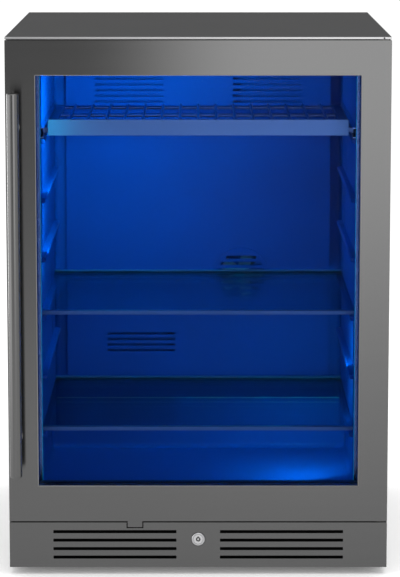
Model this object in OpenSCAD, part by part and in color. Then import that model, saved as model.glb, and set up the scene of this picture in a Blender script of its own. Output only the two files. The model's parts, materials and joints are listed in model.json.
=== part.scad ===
/* [Cabinet] */

// overall width
body_w = 595; // [590:1:605]
// overall height on retracted feet
body_h = 850; // [840:1:870]
// depth from the door face to the back
body_d = 575; // [550:1:600]
// height of the toe grille's lower edge above the floor
foot_gap = 12; // [10:1:30]
// thickness of the outer sheet metal
sheet_t = 1.2; // [0.8:0.1:2]
// thickness of the top slab
top_t = 3.2; // [2:0.1:6]

/* [Door] */

// thickness of the door without its seal
door_t = 42; // [38:1:50]
// air gap between the door and the cabinet, filled by the seal
seal_gap = 6; // [6:0.5:10]
// width of the door stiles beside the window
stile_w = 45.7; // [35:0.1:60]
// height of the door rail above the window
rail_top = 53.4; // [35:0.1:70]
// height of the door rail below the window
rail_bottom = 56.4; // [35:0.1:70]
// thickness of each glass pane
pane_t = 4; // [3:0.5:6]

/* [Handle] */

// diameter of the handle bar
handle_dia = 19; // [14:0.5:25]
// length of the handle bar
handle_len = 599; // [300:1:700]
// distance from the door face to the handle axis
handle_reach = 39.5; // [30:0.5:60]
// distance of each post from the end of the bar
post_inset = 56; // [30:1:90]

/* [Toe grille] */

// height of the toe grille
grille_h = 72.5; // [60:0.5:100]
// length of one grille slot
slot_len = 194.2; // [100:0.1:220]
// height of one grille slot
slot_h = 5; // [3:0.5:8]
// vertical distance between slots
slot_pitch = 13.77; // [10:0.01:18]

/* [Shelves] */

// thickness of the shelf glass
shelf_t = 4; // [3:0.5:6]
// vertical distance between shelf positions
shelf_pitch = 94.4; // [70:0.1:120]
// height of the lowest shelf position
shelf_base = 212.8; // [200:0.1:260]

/* [Hidden] */

$fn = 48;
tiny = 0.01;
half_w = body_w / 2;
handle_r = handle_dia / 2;
total_d = body_d + handle_reach + handle_r;
back_y = total_d / 2;
face_y = back_y - body_d;
door_back = face_y + door_t;
cab_y = door_back + seal_gap;
side_in = half_w - sheet_t;
rear_in = back_y - sheet_t;

grille_z0 = foot_gap;
grille_z1 = foot_gap + grille_h;
door_z0 = grille_z1 + 2;
slab_z0 = body_h - top_t;
door_z1 = slab_z0 - 1.6;
win_x = half_w - stile_w;
win_z0 = door_z0 + rail_bottom;
win_z1 = door_z1 - rail_top;
skin_t = 1.2;
skin_depth = 32;

unit_lap = 10;
unit_x = win_x + unit_lap;
unit_z0 = win_z0 - unit_lap;
unit_z1 = win_z1 + unit_lap;
front_pane_y = face_y + skin_t + 0.2;
rear_pane_y = face_y + 24;

seal_x = 283;
seal_z0 = 97;
seal_z1 = 828;
seal_w = 10;

hinge_x = 285.5;
hinge_y = face_y + 20;
hinge_pin_r = 4;
hinge_plate_t = 2;
low_plate_z = 80;
low_plate_t = 4;

liner_x = 252.5;
liner_z0 = 115;
liner_z1 = 800;
liner_y1 = back_y - 50;
liner_t = 2;
hump_y = 110;
hump_z = 205;
foam_z0 = 73;
bay_y = 140;
bay_z = 180;

rail_x = 250.5;
rail_y0 = -195;
rail_y1 = 205;
rib_reach = 10;
rib_h = 7;
rib_count = 6;
shelf_x = 250;
shelf_y0 = -178;
shelf_y1 = 215;

rack_z0 = 688.3;
rack_z1 = 713.7;
rack_x = 237;
rack_y0 = -178;

tab_x = -99.7;
tab_w = 23.5;
tab_z = 76.8;
bolt_y = -234.2;
bolt_z = 80.8;
bolt_r = 2;
lock_z = 57.5;
lock_ring_r = 10.25;
crank = 9;
crank_pin_r = 2.5;

base_z = 14;
base_t = 2;
foot_x = 262;
foot_front_y = -178;
foot_rear_y = 275;
foot_pad_r = 17;
foot_pad_h = 8;
stud_r = 5;

comp_x = 150;
comp_y = 226;
comp_r = 66;
fan_z = 96;
fan_r = 56;
cfan_x = 75;
cfan_z = 393;
cfan_r = 42;

// Node to build, or all of them

// box given by its low and high corners
module block(lo, hi) {
  translate(lo)
    cube([hi[0] - lo[0], hi[1] - lo[1], hi[2] - lo[2]]);
}

// rectangular ring in the XZ plane, from y0 to y1
module ring_xz(xo, zo0, zo1, xi, zi0, zi1, y0, y1) {
  difference() {
    block([-xo, y0, zo0], [xo, y1, zo1]);
    block([-xi, y0 - 1, zi0], [xi, y1 + 1, zi1]);
  }
}

// rod along X
module rod_x(x0, x1, y, z, r) {
  translate([x0, y, z])
    rotate([0, 90, 0])
      cylinder(r = r, h = x1 - x0);
}

// rod along Y
module rod_y(x, y0, y1, z, r) {
  translate([x, y0, z])
    rotate([-90, 0, 0])
      cylinder(r = r, h = y1 - y0);
}

// rod along Z
module rod_z(x, y, z0, z1, r) {
  translate([x, y, z0])
    cylinder(r = r, h = z1 - z0);
}

// slab along X with rounded ends, used as a slot cutter through Y
module slot_xz(x0, x1, z, h, r, y0, y1) {
  block([x0, y0, z - h / 2 + r], [x1, y1, z + h / 2 - r]);
  block([x0 + r, y0, z - h / 2], [x1 - r, y1, z + h / 2]);
  for (x = [x0 + r, x1 - r])
    for (s = [-1, 1])
      rod_y(x, y0, y1, z + s * (h / 2 - r), r);
}

// pan-head screw along Y, with its head at y0 and pointing to +Y
module screw_y(x, y0, z, head_r, head_h, shank_r, len) {
  difference() {
    rod_y(x, y0, y0 + head_h, z, head_r);
    block([x - head_r * 0.6, y0 - 1, z - 0.4], [x + head_r * 0.6, y0 + head_h * 0.5, z + 0.4]);
    block([x - 0.4, y0 - 1, z - head_r * 0.6], [x + 0.4, y0 + head_h * 0.5, z + head_r * 0.6]);
  }
  rod_y(x, y0 + head_h - tiny, y0 + head_h + len, z, shank_r);
}

/* ---------- outer case ---------- */

hinge_plate_x0 = 262;
hinge_plate_x1 = 295;
hinge_plate_y1 = -150;

// folded slab that covers the cabinet and reaches over the door
module top_panel() {
  color([0.13, 0.13, 0.14])
    difference() {
      block([-half_w, face_y + 3, slab_z0], [half_w, back_y, body_h]);
      block([hinge_plate_x0 - 0.2, face_y + 4, slab_z0 - 1],
            [hinge_plate_x1 + 0.2, hinge_plate_y1 + 0.2, slab_z0 + hinge_plate_t]);
      block([-half_w + 3, face_y + 4.5, slab_z0 - 1], [hinge_plate_x0 - 3, cab_y - 1, slab_z0 + hinge_plate_t]);
      for (x = hinge_screw_x)
        for (y = hinge_screw_y)
          rod_z(x, y, slab_z0 - 1, slab_z0 + hinge_plate_t + 0.8, 4.2);
    }
}

// bright strip along the slab's front edge
module top_front_trim() {
  color([0.75, 0.76, 0.78]) {
    block([-half_w, face_y, slab_z0], [half_w, face_y + 1.5, body_h]);
    block([-half_w, face_y + 1.5 - tiny, body_h - 1], [half_w, face_y + 3, body_h]);
  }
}

// painted side sheet with a folded rear flange
module side_panel(s) {
  color([0.10, 0.10, 0.11]) {
    mirror([s > 0 ? 0 : 1, 0, 0]) {
      block([side_in, cab_y, base_z], [half_w, back_y, slab_z0]);
      difference() {
        block([side_in - 14, rear_in, base_z + 4], [side_in + tiny, back_y, slab_z0 - 2]);
        for (z = cover_screw_z)
          rod_y(cover_screw_x, rear_in - 1, back_y + 1, z, 3.65);
      }
    }
  }
}

module side_panel_left() {
  side_panel(-1);
}

module side_panel_right() {
  side_panel(1);
}

service_x = 292;
service_z0 = base_z + 12.3;
service_z1 = bay_z - 1.5;
cover_screw_x = 289;
cover_screw_z = [40, 165];
rear_x = side_in - 14.3;

// galvanised back sheet above the machine bay
module rear_panel() {
  color([0.62, 0.64, 0.66])
    block([-rear_x, rear_in, service_z1 - 6], [rear_x, back_y, slab_z0 - 2]);
}

// steel frame that the door seal closes against
module front_frame() {
  color([0.12, 0.12, 0.13])
    difference() {
      ring_xz(side_in, foam_z0, slab_z0, 275.5, 100, 815, cab_y, cab_y + sheet_t);
      for (x = low_screw_x)
        rod_y(x, cab_y - 1, cab_y + 3, low_screw_z[1], 2.05);
      for (x = guide_screw_x)
        rod_y(x, cab_y - 1, cab_y + 3, guide_screw_z, 1.55);
    }
}

low_screw_x = [271, 286];
low_screw_z = [54, 76.4];
hinge_screw_x = [270, 287];
hinge_screw_y = [-165, -190];
guide_screw_x = [-52, 10];
guide_screw_z = 90;
grille_screw_z = 28;

// steel floor tray of the machine bay and the air channel
module base_pan() {
  color([0.35, 0.36, 0.38])
    difference() {
      union() {
        block([-side_in, cab_y + sheet_t, base_z], [side_in, rear_in, base_z + base_t]);
        for (s = [-1, 1])
          block([s > 0 ? 258 : -side_in, cab_y, base_z], [s > 0 ? side_in : -258, cab_y + sheet_t, foam_z0 - 1.4]);
        block([-258 - tiny, cab_y, base_z], [258 + tiny, cab_y + sheet_t, base_z + 10]);
        block([-side_in, rear_in - sheet_t, base_z], [side_in, rear_in, base_z + 12]);
      }
      for (x = [-foot_x, foot_x])
        for (y = [foot_front_y, foot_rear_y])
          rod_z(x, y, base_z - 1, base_z + base_t + 1, 9);
      for (x = low_screw_x)
        rod_y(x, cab_y - 1, cab_y + 3, low_screw_z[0], 2.05);
      for (s = [-1, 1])
        rod_y(s * 284, cab_y - 1, cab_y + 3, grille_screw_z, 2.05);
    }
}

// sheet that closes the insulation above the air channel and the machine bay
module machine_bay_panel() {
  color([0.55, 0.57, 0.6]) {
    block([-side_in, cab_y, foam_z0 - sheet_t], [side_in, bay_y + sheet_t, foam_z0]);
    block([-side_in, bay_y, foam_z0 - tiny], [side_in, bay_y + sheet_t, bay_z]);
    difference() {
      block([-side_in, bay_y + sheet_t - tiny, bay_z - sheet_t], [side_in, rear_in, bay_z]);
      rod_z(pipe_x, suction_y, bay_z - 3, bay_z + 1, 6);
      rod_z(pipe_x, 152, bay_z - 3, bay_z + 1, 4);
    }
  }
}

// foamed insulation between the outer sheets and the liner
module insulation_foam() {
  color([0.86, 0.8, 0.6])
    difference() {
      block([-side_in, cab_y + sheet_t, foam_z0], [side_in, rear_in, slab_z0]);
      block([-liner_x - liner_t, cab_y, hump_z - liner_t],
            [liner_x + liner_t, liner_y1 + liner_t, liner_z1 + liner_t]);
      block([-liner_x - liner_t, cab_y, liner_z0 - liner_t],
            [liner_x + liner_t, hump_y + liner_t, hump_z]);
      block([-half_w, bay_y, foam_z0 - 1], [half_w, back_y, bay_z]);
      block([-275.5, cab_y, 100], [275.5, cab_y + liner_t, 815]);
      for (x = hinge_screw_x)
        for (y = hinge_screw_y)
          rod_z(x, y, slab_z0 - 16, slab_z0 + 1, 2.1);
      for (x = low_screw_x)
        rod_y(x, cab_y, cab_y + 14, low_screw_z[1], 2.2);
      for (x = guide_screw_x)
        rod_y(x, cab_y, cab_y + 12, guide_screw_z, 1.7);
      rod_y(pipe_x, liner_y1, suction_y + 6, suction_z, 6);
      rod_z(pipe_x, suction_y, bay_z - 1, suction_z + 6, 6);
    }
}

pipe_x = -190;
suction_z = 560;
suction_y = 302;

/* ---------- inside ---------- */

// moulded food-grade liner with a step over the machine bay
module inner_liner() {
  color([0.02, 0.05, 0.16])
    difference() {
      union() {
        block([-liner_x - liner_t, cab_y, hump_z - liner_t],
              [liner_x + liner_t, liner_y1 + liner_t, liner_z1 + liner_t]);
        block([-liner_x - liner_t, cab_y, liner_z0 - liner_t],
              [liner_x + liner_t, hump_y + liner_t, hump_z]);
        block([-275.3, cab_y, 100.2], [275.3, cab_y + liner_t, 814.8]);
      }
      block([-liner_x, cab_y - 1, hump_z], [liner_x, liner_y1, liner_z1]);
      block([-liner_x, cab_y - 1, liner_z0], [liner_x, hump_y, hump_z + 1]);
      rod_y(pipe_x, liner_y1 - 1, liner_y1 + 4, suction_z, 5.2);
    }
}

// moulded side wall panel with one rounded ledge per shelf position
module shelf_support(s) {
  color([0.03, 0.12, 0.42])
    mirror([s > 0 ? 0 : 1, 0, 0]) {
      block([rail_x, rail_y0, hump_z + 0.5], [liner_x, rail_y1, 790]);
      for (n = [0 : rib_count - 1]) {
        top = shelf_base + n * shelf_pitch;
        block([rail_x - rib_reach + rib_h / 2, rail_y0, top - rib_h], [rail_x + tiny, rail_y1, top]);
        rod_y(rail_x - rib_reach + rib_h / 2, rail_y0, rail_y1, top - rib_h / 2, rib_h / 2);
      }
    }
}

module shelf_supports() {
  shelf_support(-1);
  shelf_support(1);
}

duct_y = liner_y1 - 25;
duct_t = 2;
vent_rows = 6;

// rear air duct cover with a fan grille and outlet louvres
module air_duct_cover() {
  color([0.05, 0.08, 0.22])
    difference() {
      union() {
        block([-230, duct_y, hump_z + 6], [230, duct_y + duct_t, liner_z1 - 10]);
        for (s = [-1, 1])
          block([s * 229 - 1, duct_y + duct_t - tiny, hump_z + 6], [s * 229 + 1, liner_y1, liner_z1 - 10]);
        block([-230, duct_y + duct_t - tiny, hump_z + 6], [230, liner_y1, hump_z + 8]);
        block([-230, duct_y + duct_t - tiny, liner_z1 - 12], [230, liner_y1, liner_z1 - 10]);
        translate([cfan_x, duct_y + tiny, cfan_z])
          rotate([90, 0, 0])
            cylinder(r = cfan_r + 8, h = 3);
      }
      for (n = [0 : 6]) {
        z = cfan_z - 33 + n * 11;
        reach = sqrt(cfan_r * cfan_r - (z - cfan_z) * (z - cfan_z));
        block([cfan_x - reach, duct_y - 4, z - 3], [cfan_x + reach, duct_y + 3, z + 3]);
      }
      for (n = [0 : vent_rows - 1])
        for (s = [-1, 1])
          slot_xz(s * 120 - 60, s * 120 + 60, 740 - n * 10, 4, 1.9, duct_y - 1, duct_y + 3);
      for (n = [0 : 3])
        slot_xz(-160, -40, 260 + n * 10, 4, 1.9, duct_y - 1, duct_y + 3);
    }
}

evap_y = liner_y1 - 12;

// bend that joins two tube rows at x
module return_bend(x, y, z, rise, r) {
  rod_z(x, y, z, z + rise, r);
  for (k = [0, 1])
    translate([x, y, z + k * rise])
      sphere(r = r);
}

// finned cooling coil behind the duct cover
module evaporator() {
  color([0.75, 0.77, 0.8]) {
    for (i = [0 : 29])
      block([-145 + i * 10, evap_y - 9, 520], [-144.4 + i * 10, evap_y + 9, 680]);
    for (j = [0 : 5])
      rod_x(-160, 160, evap_y, 534 + j * 26, 4);
    for (j = [0 : 4])
      return_bend(j % 2 == 0 ? 160 : -160, evap_y, 534 + j * 26, 26, 4);
    for (x = [-150, 150])
      block([x - 1, evap_y - 10, 516], [x + 1, liner_y1, 684]);
  }
}

// fan motor on a spider bracket
module circulation_fan_motor() {
  color([0.08, 0.08, 0.09]) {
    rod_y(cfan_x, liner_y1 - 9, liner_y1, cfan_z, 15);
    rod_y(cfan_x, liner_y1 - 17, liner_y1 - 8, cfan_z, 2);
    for (a = [45, 135])
      translate([cfan_x, liner_y1 - 1.5, cfan_z])
        rotate([0, a, 0])
          cube([104, 3, 7], center = true);
  }
}

// propeller with a hub bored for the motor shaft
module fan_blades(r, hub_r, hub_h, bore_r, count, pitch) {
  difference() {
    union() {
      cylinder(r = hub_r, h = hub_h);
      for (i = [0 : count - 1])
        rotate([0, 0, i * 360 / count])
          translate([hub_r - 1, 0, hub_h / 2])
            rotate([pitch, 0, 0])
              translate([0, -hub_r * 0.8, -0.8])
                cube([r - hub_r, hub_r * 1.6, 1.6]);
    }
    translate([0, 0, -1])
      cylinder(r = bore_r, h = hub_h - 1);
  }
}

module circulation_fan() {
  color([0.12, 0.13, 0.15])
    translate([cfan_x, liner_y1 - 10, cfan_z])
      rotate([90, 0, 0])
        fan_blades(cfan_r - 4, 13, 10, 2.05, 5, 18);
}

led_x = rail_x - 2.5;
led_y0 = -206;
led_z0 = 122;
led_z1 = 793;

// aluminium channel that holds the light strip
module led_bar(s) {
  color([0.7, 0.72, 0.75])
    mirror([s > 0 ? 0 : 1, 0, 0])
      difference() {
        block([led_x, led_y0, led_z0], [liner_x, led_y0 + 9, led_z1]);
        block([led_x - 1, led_y0 + 1, led_z0 + 1], [led_x + 3, led_y0 + 8, led_z1 - 1]);
      }
}

module led_bars() {
  led_bar(-1);
  led_bar(1);
}

// diffuser over the light strip
module led_lens(s) {
  color([0.3, 0.6, 1])
    mirror([s > 0 ? 0 : 1, 0, 0])
      block([led_x - 0.5, led_y0 + 1.2, led_z0 + 1.2], [led_x + 2.8, led_y0 + 7.8, led_z1 - 1.2]);
}

module led_lenses() {
  led_lens(-1);
  led_lens(1);
}

panel_x = 90;
panel_z = liner_z1 - 8;

// control housing under the liner's ceiling
module control_panel() {
  color([0.03, 0.03, 0.04])
    difference() {
      block([-panel_x, cab_y + 6, panel_z], [panel_x, cab_y + 60, liner_z1]);
      block([-panel_x + 6, cab_y + 12, panel_z - 1], [panel_x - 6, cab_y + 46, panel_z + 1.5]);
      block([-panel_x + 2, cab_y + 50, panel_z + 2], [panel_x - 2, cab_y + 58, liner_z1 + 1]);
    }
}

// glossy touch plate with a raised ring round each key field
module touch_display() {
  color([0.02, 0.02, 0.03]) {
    block([-panel_x + 6.2, cab_y + 12.2, panel_z], [panel_x - 6.2, cab_y + 45.8, panel_z + 1.5]);
    for (x = [-66, -40, 40, 66])
      translate([x, cab_y + 29, panel_z - 0.3])
        difference() {
          cylinder(r = 8, h = 0.4);
          translate([0, 0, -1])
            cylinder(r = 6.8, h = 2);
        }
  }
}

/* ---------- machine bay ---------- */

comp_z = base_z + base_t;

// hermetic compressor with its base plate, terminal box and stub pipes
module compressor() {
  color([0.05, 0.05, 0.06])
    translate([comp_x, comp_y, comp_z]) {
      translate([0, 0, 22])
        cylinder(r = comp_r, h = 66);
      translate([0, 0, 88 - tiny])
        cylinder(r1 = comp_r, r2 = comp_r - 10, h = 22);
      translate([0, 0, 110 - 2 * tiny])
        cylinder(r1 = comp_r - 10, r2 = comp_r - 34, h = 12);
      translate([0, 0, 56])
        cylinder(r = comp_r + 3, h = 5);
      translate([0, 0, 14])
        cylinder(r1 = comp_r - 14, r2 = comp_r, h = 8 + tiny);
      difference() {
        translate([-80, -62, 11])
          cube([160, 124, 3.2]);
        for (x = [-68, 68])
          for (y = [-52, 52])
            translate([x, y, 10])
              cylinder(r = 7.1, h = 6);
      }
      block([-30, -comp_r - 15, 36], [30, -comp_r + 12, 82]);
    }
}

// rubber feet of the compressor, each on its own stud
module compressor_grommets() {
  color([0.03, 0.03, 0.03])
    for (x = [-68, 68])
      for (y = [-52, 52])
        translate([comp_x + x, comp_y + y, comp_z]) {
          cylinder(r = 11, h = 11);
          translate([0, 0, 11 - tiny])
            cylinder(r = 7, h = 3.3);
          translate([0, 0, 14.3 - tiny])
            cylinder(r = 10, h = 4);
          translate([0, 0, 18.2])
            cylinder(r = 4, h = 4);
        }
}

cond_x0 = -250;
cond_x1 = -70;
cond_y = 226;

// forced-air condenser with plate fins
module condenser_coil() {
  color([0.1, 0.1, 0.11]) {
    for (i = [0 : 22])
      block([cond_x0 + 8 + i * 7.4, cond_y - 50, 30], [cond_x0 + 8.6 + i * 7.4, cond_y + 50, 166]);
    for (k = [-1, 0, 1])
      for (j = [0 : 4])
        rod_x(cond_x0, cond_x1, cond_y + k * 30, 44 + j * 27, 3.5);
    for (k = [-1, 0, 1])
      for (j = [0 : 3])
        return_bend(j % 2 == 0 ? cond_x1 : cond_x0, cond_y + k * 30, 44 + j * 27, 27, 3.5);
    for (x = [cond_x0 + 4, cond_x1 - 5])
      block([x, cond_y - 54, comp_z], [x + 1, cond_y + 54, 168]);
  }
}

shroud_x = -44;

// fan shroud plate with a bell ring and mounting foot
module condenser_fan_shroud() {
  color([0.06, 0.06, 0.07])
    difference() {
      union() {
        block([shroud_x, cond_y - 64, comp_z], [shroud_x + 2, cond_y + 64, 168]);
        rod_x(shroud_x, shroud_x + 26, cond_y, fan_z, fan_r + 4.5);
        block([shroud_x, cond_y - 64, comp_z], [shroud_x + 18, cond_y + 64, comp_z + 2]);
      }
      rod_x(shroud_x - 1, shroud_x + 30, cond_y, fan_z, fan_r + 2);
    }
}

// fan motor on three arms
module condenser_fan_motor() {
  color([0.2, 0.2, 0.22]) {
    rod_x(shroud_x + 24, shroud_x + 60, cond_y, fan_z, 24);
    rod_x(shroud_x + 8, shroud_x + 26, cond_y, fan_z, 3);
    for (a = [90, 210, 330])
      translate([shroud_x + 26.2, cond_y, fan_z])
        rotate([a, 0, 0])
          translate([0, 20, -4])
            cube([3, fan_r - 16, 8]);
  }
}

module condenser_fan() {
  color([0.55, 0.56, 0.58])
    translate([shroud_x + 22, cond_y, fan_z])
      rotate([0, -90, 0])
        fan_blades(fan_r - 2, 17, 16, 3.05, 5, 22);
}

// upright strip that parts the intake air from the exhaust air
module air_divider() {
  color([0.07, 0.07, 0.08]) {
    block([-3, -200, comp_z], [3, bay_y, foam_z0 - sheet_t]);
    block([-14, -200, comp_z], [14, bay_y, comp_z + 1.5]);
  }
}

// evaporation tray on the compressor's dome
module drip_tray() {
  color([0.8, 0.8, 0.78]) {
    z = comp_z + 128;
    difference() {
      block([comp_x - 62, comp_y - 50, z], [comp_x + 62, comp_y + 50, z + 20]);
      block([comp_x - 60, comp_y - 48, z + 2], [comp_x + 60, comp_y + 48, z + 21]);
    }
    for (x = [-20, 20])
      block([comp_x + x - 4, comp_y - 8, z - 6.02], [comp_x + x + 4, comp_y + 8, z + tiny]);
  }
}

drier_x = 30;

// copper filter drier
module filter_drier() {
  color([0.72, 0.42, 0.28]) {
    rod_z(drier_x, 166, 60, 140, 9);
    translate([drier_x, 166, 140 - tiny])
      cylinder(r1 = 9, r2 = 3, h = 8);
    translate([drier_x, 166, 52 + tiny])
      cylinder(r1 = 3, r2 = 9, h = 8);
  }
}

// one axis-aligned pipe run through a list of corner points
module pipe_run(points, r) {
  for (i = [0 : len(points) - 2]) {
    a = points[i];
    b = points[i + 1];
    lo = [min(a[0], b[0]), min(a[1], b[1]), min(a[2], b[2])];
    hi = [max(a[0], b[0]), max(a[1], b[1]), max(a[2], b[2])];
    if (a[0] != b[0])
      rod_x(lo[0], hi[0], a[1], a[2], r);
    if (a[1] != b[1])
      rod_y(a[0], lo[1], hi[1], a[2], r);
    if (a[2] != b[2])
      rod_z(a[0], a[1], lo[2], hi[2], r);
  }
  for (p = points)
    translate(p)
      sphere(r = r);
}

// discharge, liquid and suction lines
module refrigerant_pipes() {
  color([0.72, 0.45, 0.3]) {
    pipe_run([[comp_x - 40, 282, 110], [comp_x - 40, 298, 110], [-262, 298, 110],
              [-262, 256, 110], [-262, 256, 45]], 3);
    pipe_run([[-262, 196, 44], [-262, 152, 44], [drier_x, 152, 44], [drier_x, 166, 44], [drier_x, 166, 49]], 2.4);
    pipe_run([[drier_x, 166, 151], [drier_x, 166, 158], [drier_x, 152, 158], [pipe_x, 152, 158],
              [pipe_x, 152, bay_z - 4]], 2.4);
    pipe_run([[pipe_x, liner_y1 - 5, suction_z], [pipe_x, suction_y, suction_z], [pipe_x, suction_y, 150],
              [comp_x + 30, suction_y, 150], [comp_x + 30, suction_y, 80], [comp_x + 30, 293, 80]], 4.5);
  }
}

// louvred cover over the machine bay
module service_cover() {
  color([0.5, 0.52, 0.54])
    difference() {
      block([-service_x, rear_in - sheet_t, service_z0], [service_x, rear_in, service_z1]);
      for (n = [0 : 7])
        for (x = [-190, -70, 50, 170])
          slot_xz(x - 48, x + 48, 62 + n * 13, 5, 2.2, rear_in - 3, back_y + 1);
      for (x = [-cover_screw_x, cover_screw_x])
        for (z = cover_screw_z)
          rod_y(x, rear_in - 3, back_y + 1, z, 2.05);
      block([inlet_x - 10, rear_in - 3, inlet_z - 8], [inlet_x + 10, back_y + 1, inlet_z + 8]);
    }
}

inlet_x = 251;
inlet_z = 76;

// terminal box with the mains inlet socket
module mains_box() {
  color([0.05, 0.05, 0.05])
    difference() {
      union() {
        block([inlet_x - 14, 262, inlet_z - 14], [inlet_x + 14, rear_in - sheet_t, inlet_z + 50]);
        block([inlet_x - 9, rear_in - sheet_t - tiny, inlet_z - 7], [inlet_x + 9, back_y - 0.2, inlet_z + 7]);
      }
      block([inlet_x - 7, rear_in - 14, inlet_z - 5], [inlet_x + 7, back_y + 1, inlet_z + 5]);
      block([inlet_x - 12, 264, inlet_z - 12], [inlet_x + 12, rear_in - 16, inlet_z + 51]);
      rod_x(inlet_x - 20, inlet_x, 275, inlet_z + 30, 3);
    }
}

/* ---------- feet ---------- */

// threaded sockets pressed into the floor tray
module foot_sockets() {
  color([0.7, 0.7, 0.72])
    for (x = [-foot_x, foot_x])
      for (y = [foot_front_y, foot_rear_y])
        translate([x, y, 0])
          difference() {
            union() {
              rod_z(0, 0, base_z - 1.5, base_z, 13);
              rod_z(0, 0, base_z - tiny, 52, 8.9);
            }
            rod_z(0, 0, base_z - 3, 53, stud_r + 0.08);
          }
}

// levelling foot: pad, hexagon and threaded stud
module foot(x, y) {
  color([0.08, 0.08, 0.08])
    translate([x, y, 0]) {
      cylinder(r1 = foot_pad_r - 1.5, r2 = foot_pad_r, h = 2);
      translate([0, 0, 2 - tiny])
        cylinder(r = foot_pad_r, h = foot_pad_h - 4);
      translate([0, 0, foot_pad_h - 2 - 2 * tiny])
        cylinder(r1 = foot_pad_r, r2 = 9, h = 2);
      translate([0, 0, foot_pad_h - 3 * tiny])
        cylinder(r = 8.5, h = 4, $fn = 6);
      translate([0, 0, foot_pad_h + 3])
        cylinder(r = stud_r, h = 36);
    }
}

module foot_front_left() {
  foot(-foot_x, foot_front_y);
}

module foot_front_right() {
  foot(foot_x, foot_front_y);
}

module foot_rear_left() {
  foot(-foot_x, foot_rear_y);
}

module foot_rear_right() {
  foot(foot_x, foot_rear_y);
}

/* ---------- toe grille and lock ---------- */

grille_t = 1.5;
slot_x0 = 34.3;
slot_z0 = 28.3;
notch_gap = 1.5;

// folded toe grille with four slots on each side
module toe_grille() {
  color([0.15, 0.15, 0.16])
    difference() {
      union() {
        block([-half_w, face_y, grille_z0], [half_w, face_y + grille_t, grille_z1]);
        for (s = [-1, 1]) {
          x0 = s > 0 ? half_w - grille_t : -half_w;
          block([x0, face_y, grille_z0], [x0 + grille_t, cab_y - 0.1, grille_z1]);
          f0 = s > 0 ? 274 : -half_w;
          f1 = s > 0 ? half_w : -274;
          block([f0, cab_y - 1.5, grille_z0 + 4], [f1, cab_y, 40]);
        }
        block([-half_w, face_y, grille_z1 - grille_t], [half_w, face_y + 8, grille_z1]);
        block([-half_w, face_y, grille_z0], [half_w, face_y + 26, grille_z0 + grille_t]);
      }
      for (n = [0 : 3])
        for (s = [-1, 1])
          slot_xz(s > 0 ? slot_x0 : -slot_x0 - slot_len, s > 0 ? slot_x0 + slot_len : -slot_x0,
                  slot_z0 + n * slot_pitch, slot_h, 1, face_y - 1, face_y + grille_t + 1);
      block([tab_x - tab_w / 2 - notch_gap, face_y - 1, tab_z - notch_gap],
            [tab_x + tab_w / 2 + notch_gap, face_y + 20, grille_z1 + 1]);
      rod_y(0, face_y - 1, face_y + 4, lock_z, 9.05);
      for (s = [-1, 1])
        rod_y(s * 284, cab_y - 3, cab_y + 1, grille_screw_z, 2.05);
    }
}

barrel_y0 = face_y - 1.5;
barrel_y1 = face_y + 22;

// lock barrel with its front ring, and the hexagon nut that holds it behind the grille
module lock_barrel() {
  color([0.7, 0.7, 0.72]) {
    difference() {
      union() {
        translate([0, barrel_y0 + 0.5, lock_z])
          rotate([-90, 0, 0])
            cylinder(r = lock_ring_r, h = 1);
        translate([0, barrel_y0, lock_z])
          rotate([-90, 0, 0])
            cylinder(r1 = lock_ring_r - 0.5, r2 = lock_ring_r, h = 0.5 + tiny);
        rod_y(0, barrel_y0 + 1, barrel_y1, lock_z, 9);
      }
      rod_y(0, barrel_y0 - 1, barrel_y1 + 1, lock_z, 7);
    }
    difference() {
      translate([0, face_y + grille_t, lock_z])
        rotate([-90, 0, 0])
          cylinder(r = 13.5, h = 4.5, $fn = 6);
      rod_y(0, face_y, face_y + 8, lock_z, 9.03);
    }
  }
}

// turning plug with a tubular keyway
module lock_plug() {
  color([0.6, 0.6, 0.62])
    difference() {
      union() {
        rod_y(0, barrel_y0 + 0.2, barrel_y1 + 0.5, lock_z, 6.94);
        block([-3, barrel_y1 + 0.5 - tiny, lock_z - 3], [3, barrel_y1 + 3.4, lock_z + 3]);
      }
      difference() {
        rod_y(0, barrel_y0 - 1, barrel_y0 + 6, lock_z, 3.5);
        rod_y(0, barrel_y0 - 2, barrel_y0 + 7, lock_z, 1.8);
      }
      block([-0.7, barrel_y0 - 1, lock_z + 3], [0.7, barrel_y0 + 2, lock_z + 4.6]);
    }
}

cam_y = barrel_y1 + 0.6;

// crank disc with its pin, keyed to the plug
module lock_cam() {
  color([0.72, 0.72, 0.74])
    difference() {
      union() {
        rod_y(0, cam_y, cam_y + 2.8, lock_z, 12.5);
        rod_y(crank * cos(45), cam_y + 2.8 - tiny, cam_y + 8, lock_z + crank * sin(45), crank_pin_r);
      }
      block([-3.03, cam_y - 1, lock_z - 3.03], [3.03, cam_y + 4, lock_z + 3.03]);
    }
}

yoke_x = crank * cos(45);

// sliding bolt with a slotted yoke
module lock_bolt() {
  color([0.66, 0.66, 0.68])
    difference() {
      union() {
        rod_x(-84, 42, bolt_y, bolt_z, bolt_r);
        block([yoke_x - 9, bolt_y - 1.8, 55], [yoke_x + 9, bolt_y + 1.8, bolt_z]);
      }
      slot_z0 = lock_z + crank * sin(45);
      block([yoke_x - crank_pin_r - 0.5, bolt_y - 3, slot_z0 - 3.2],
            [yoke_x + crank_pin_r + 0.5, bolt_y + 3, lock_z + crank + 3.2]);
    }
}

guide_x = [-66, 24];

// bracket whose two ears carry the bolt
module lock_guide() {
  color([0.6, 0.6, 0.62])
    difference() {
      union() {
        block([-66, cab_y - 1.5, 74], [25.5, cab_y, 85]);
        for (x = [-52, 10])
          block([x - 6, cab_y - 1.5, 84.9], [x + 6, cab_y, 95]);
        for (x = guide_x)
          block([x, bolt_y - 5, 74], [x + 1.5, cab_y - 1, 85]);
      }
      rod_x(-70, 30, bolt_y, bolt_z, bolt_r + 0.08);
      for (x = guide_screw_x)
        rod_y(x, cab_y - 3, cab_y + 1, guide_screw_z, 1.55);
    }
}

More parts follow.
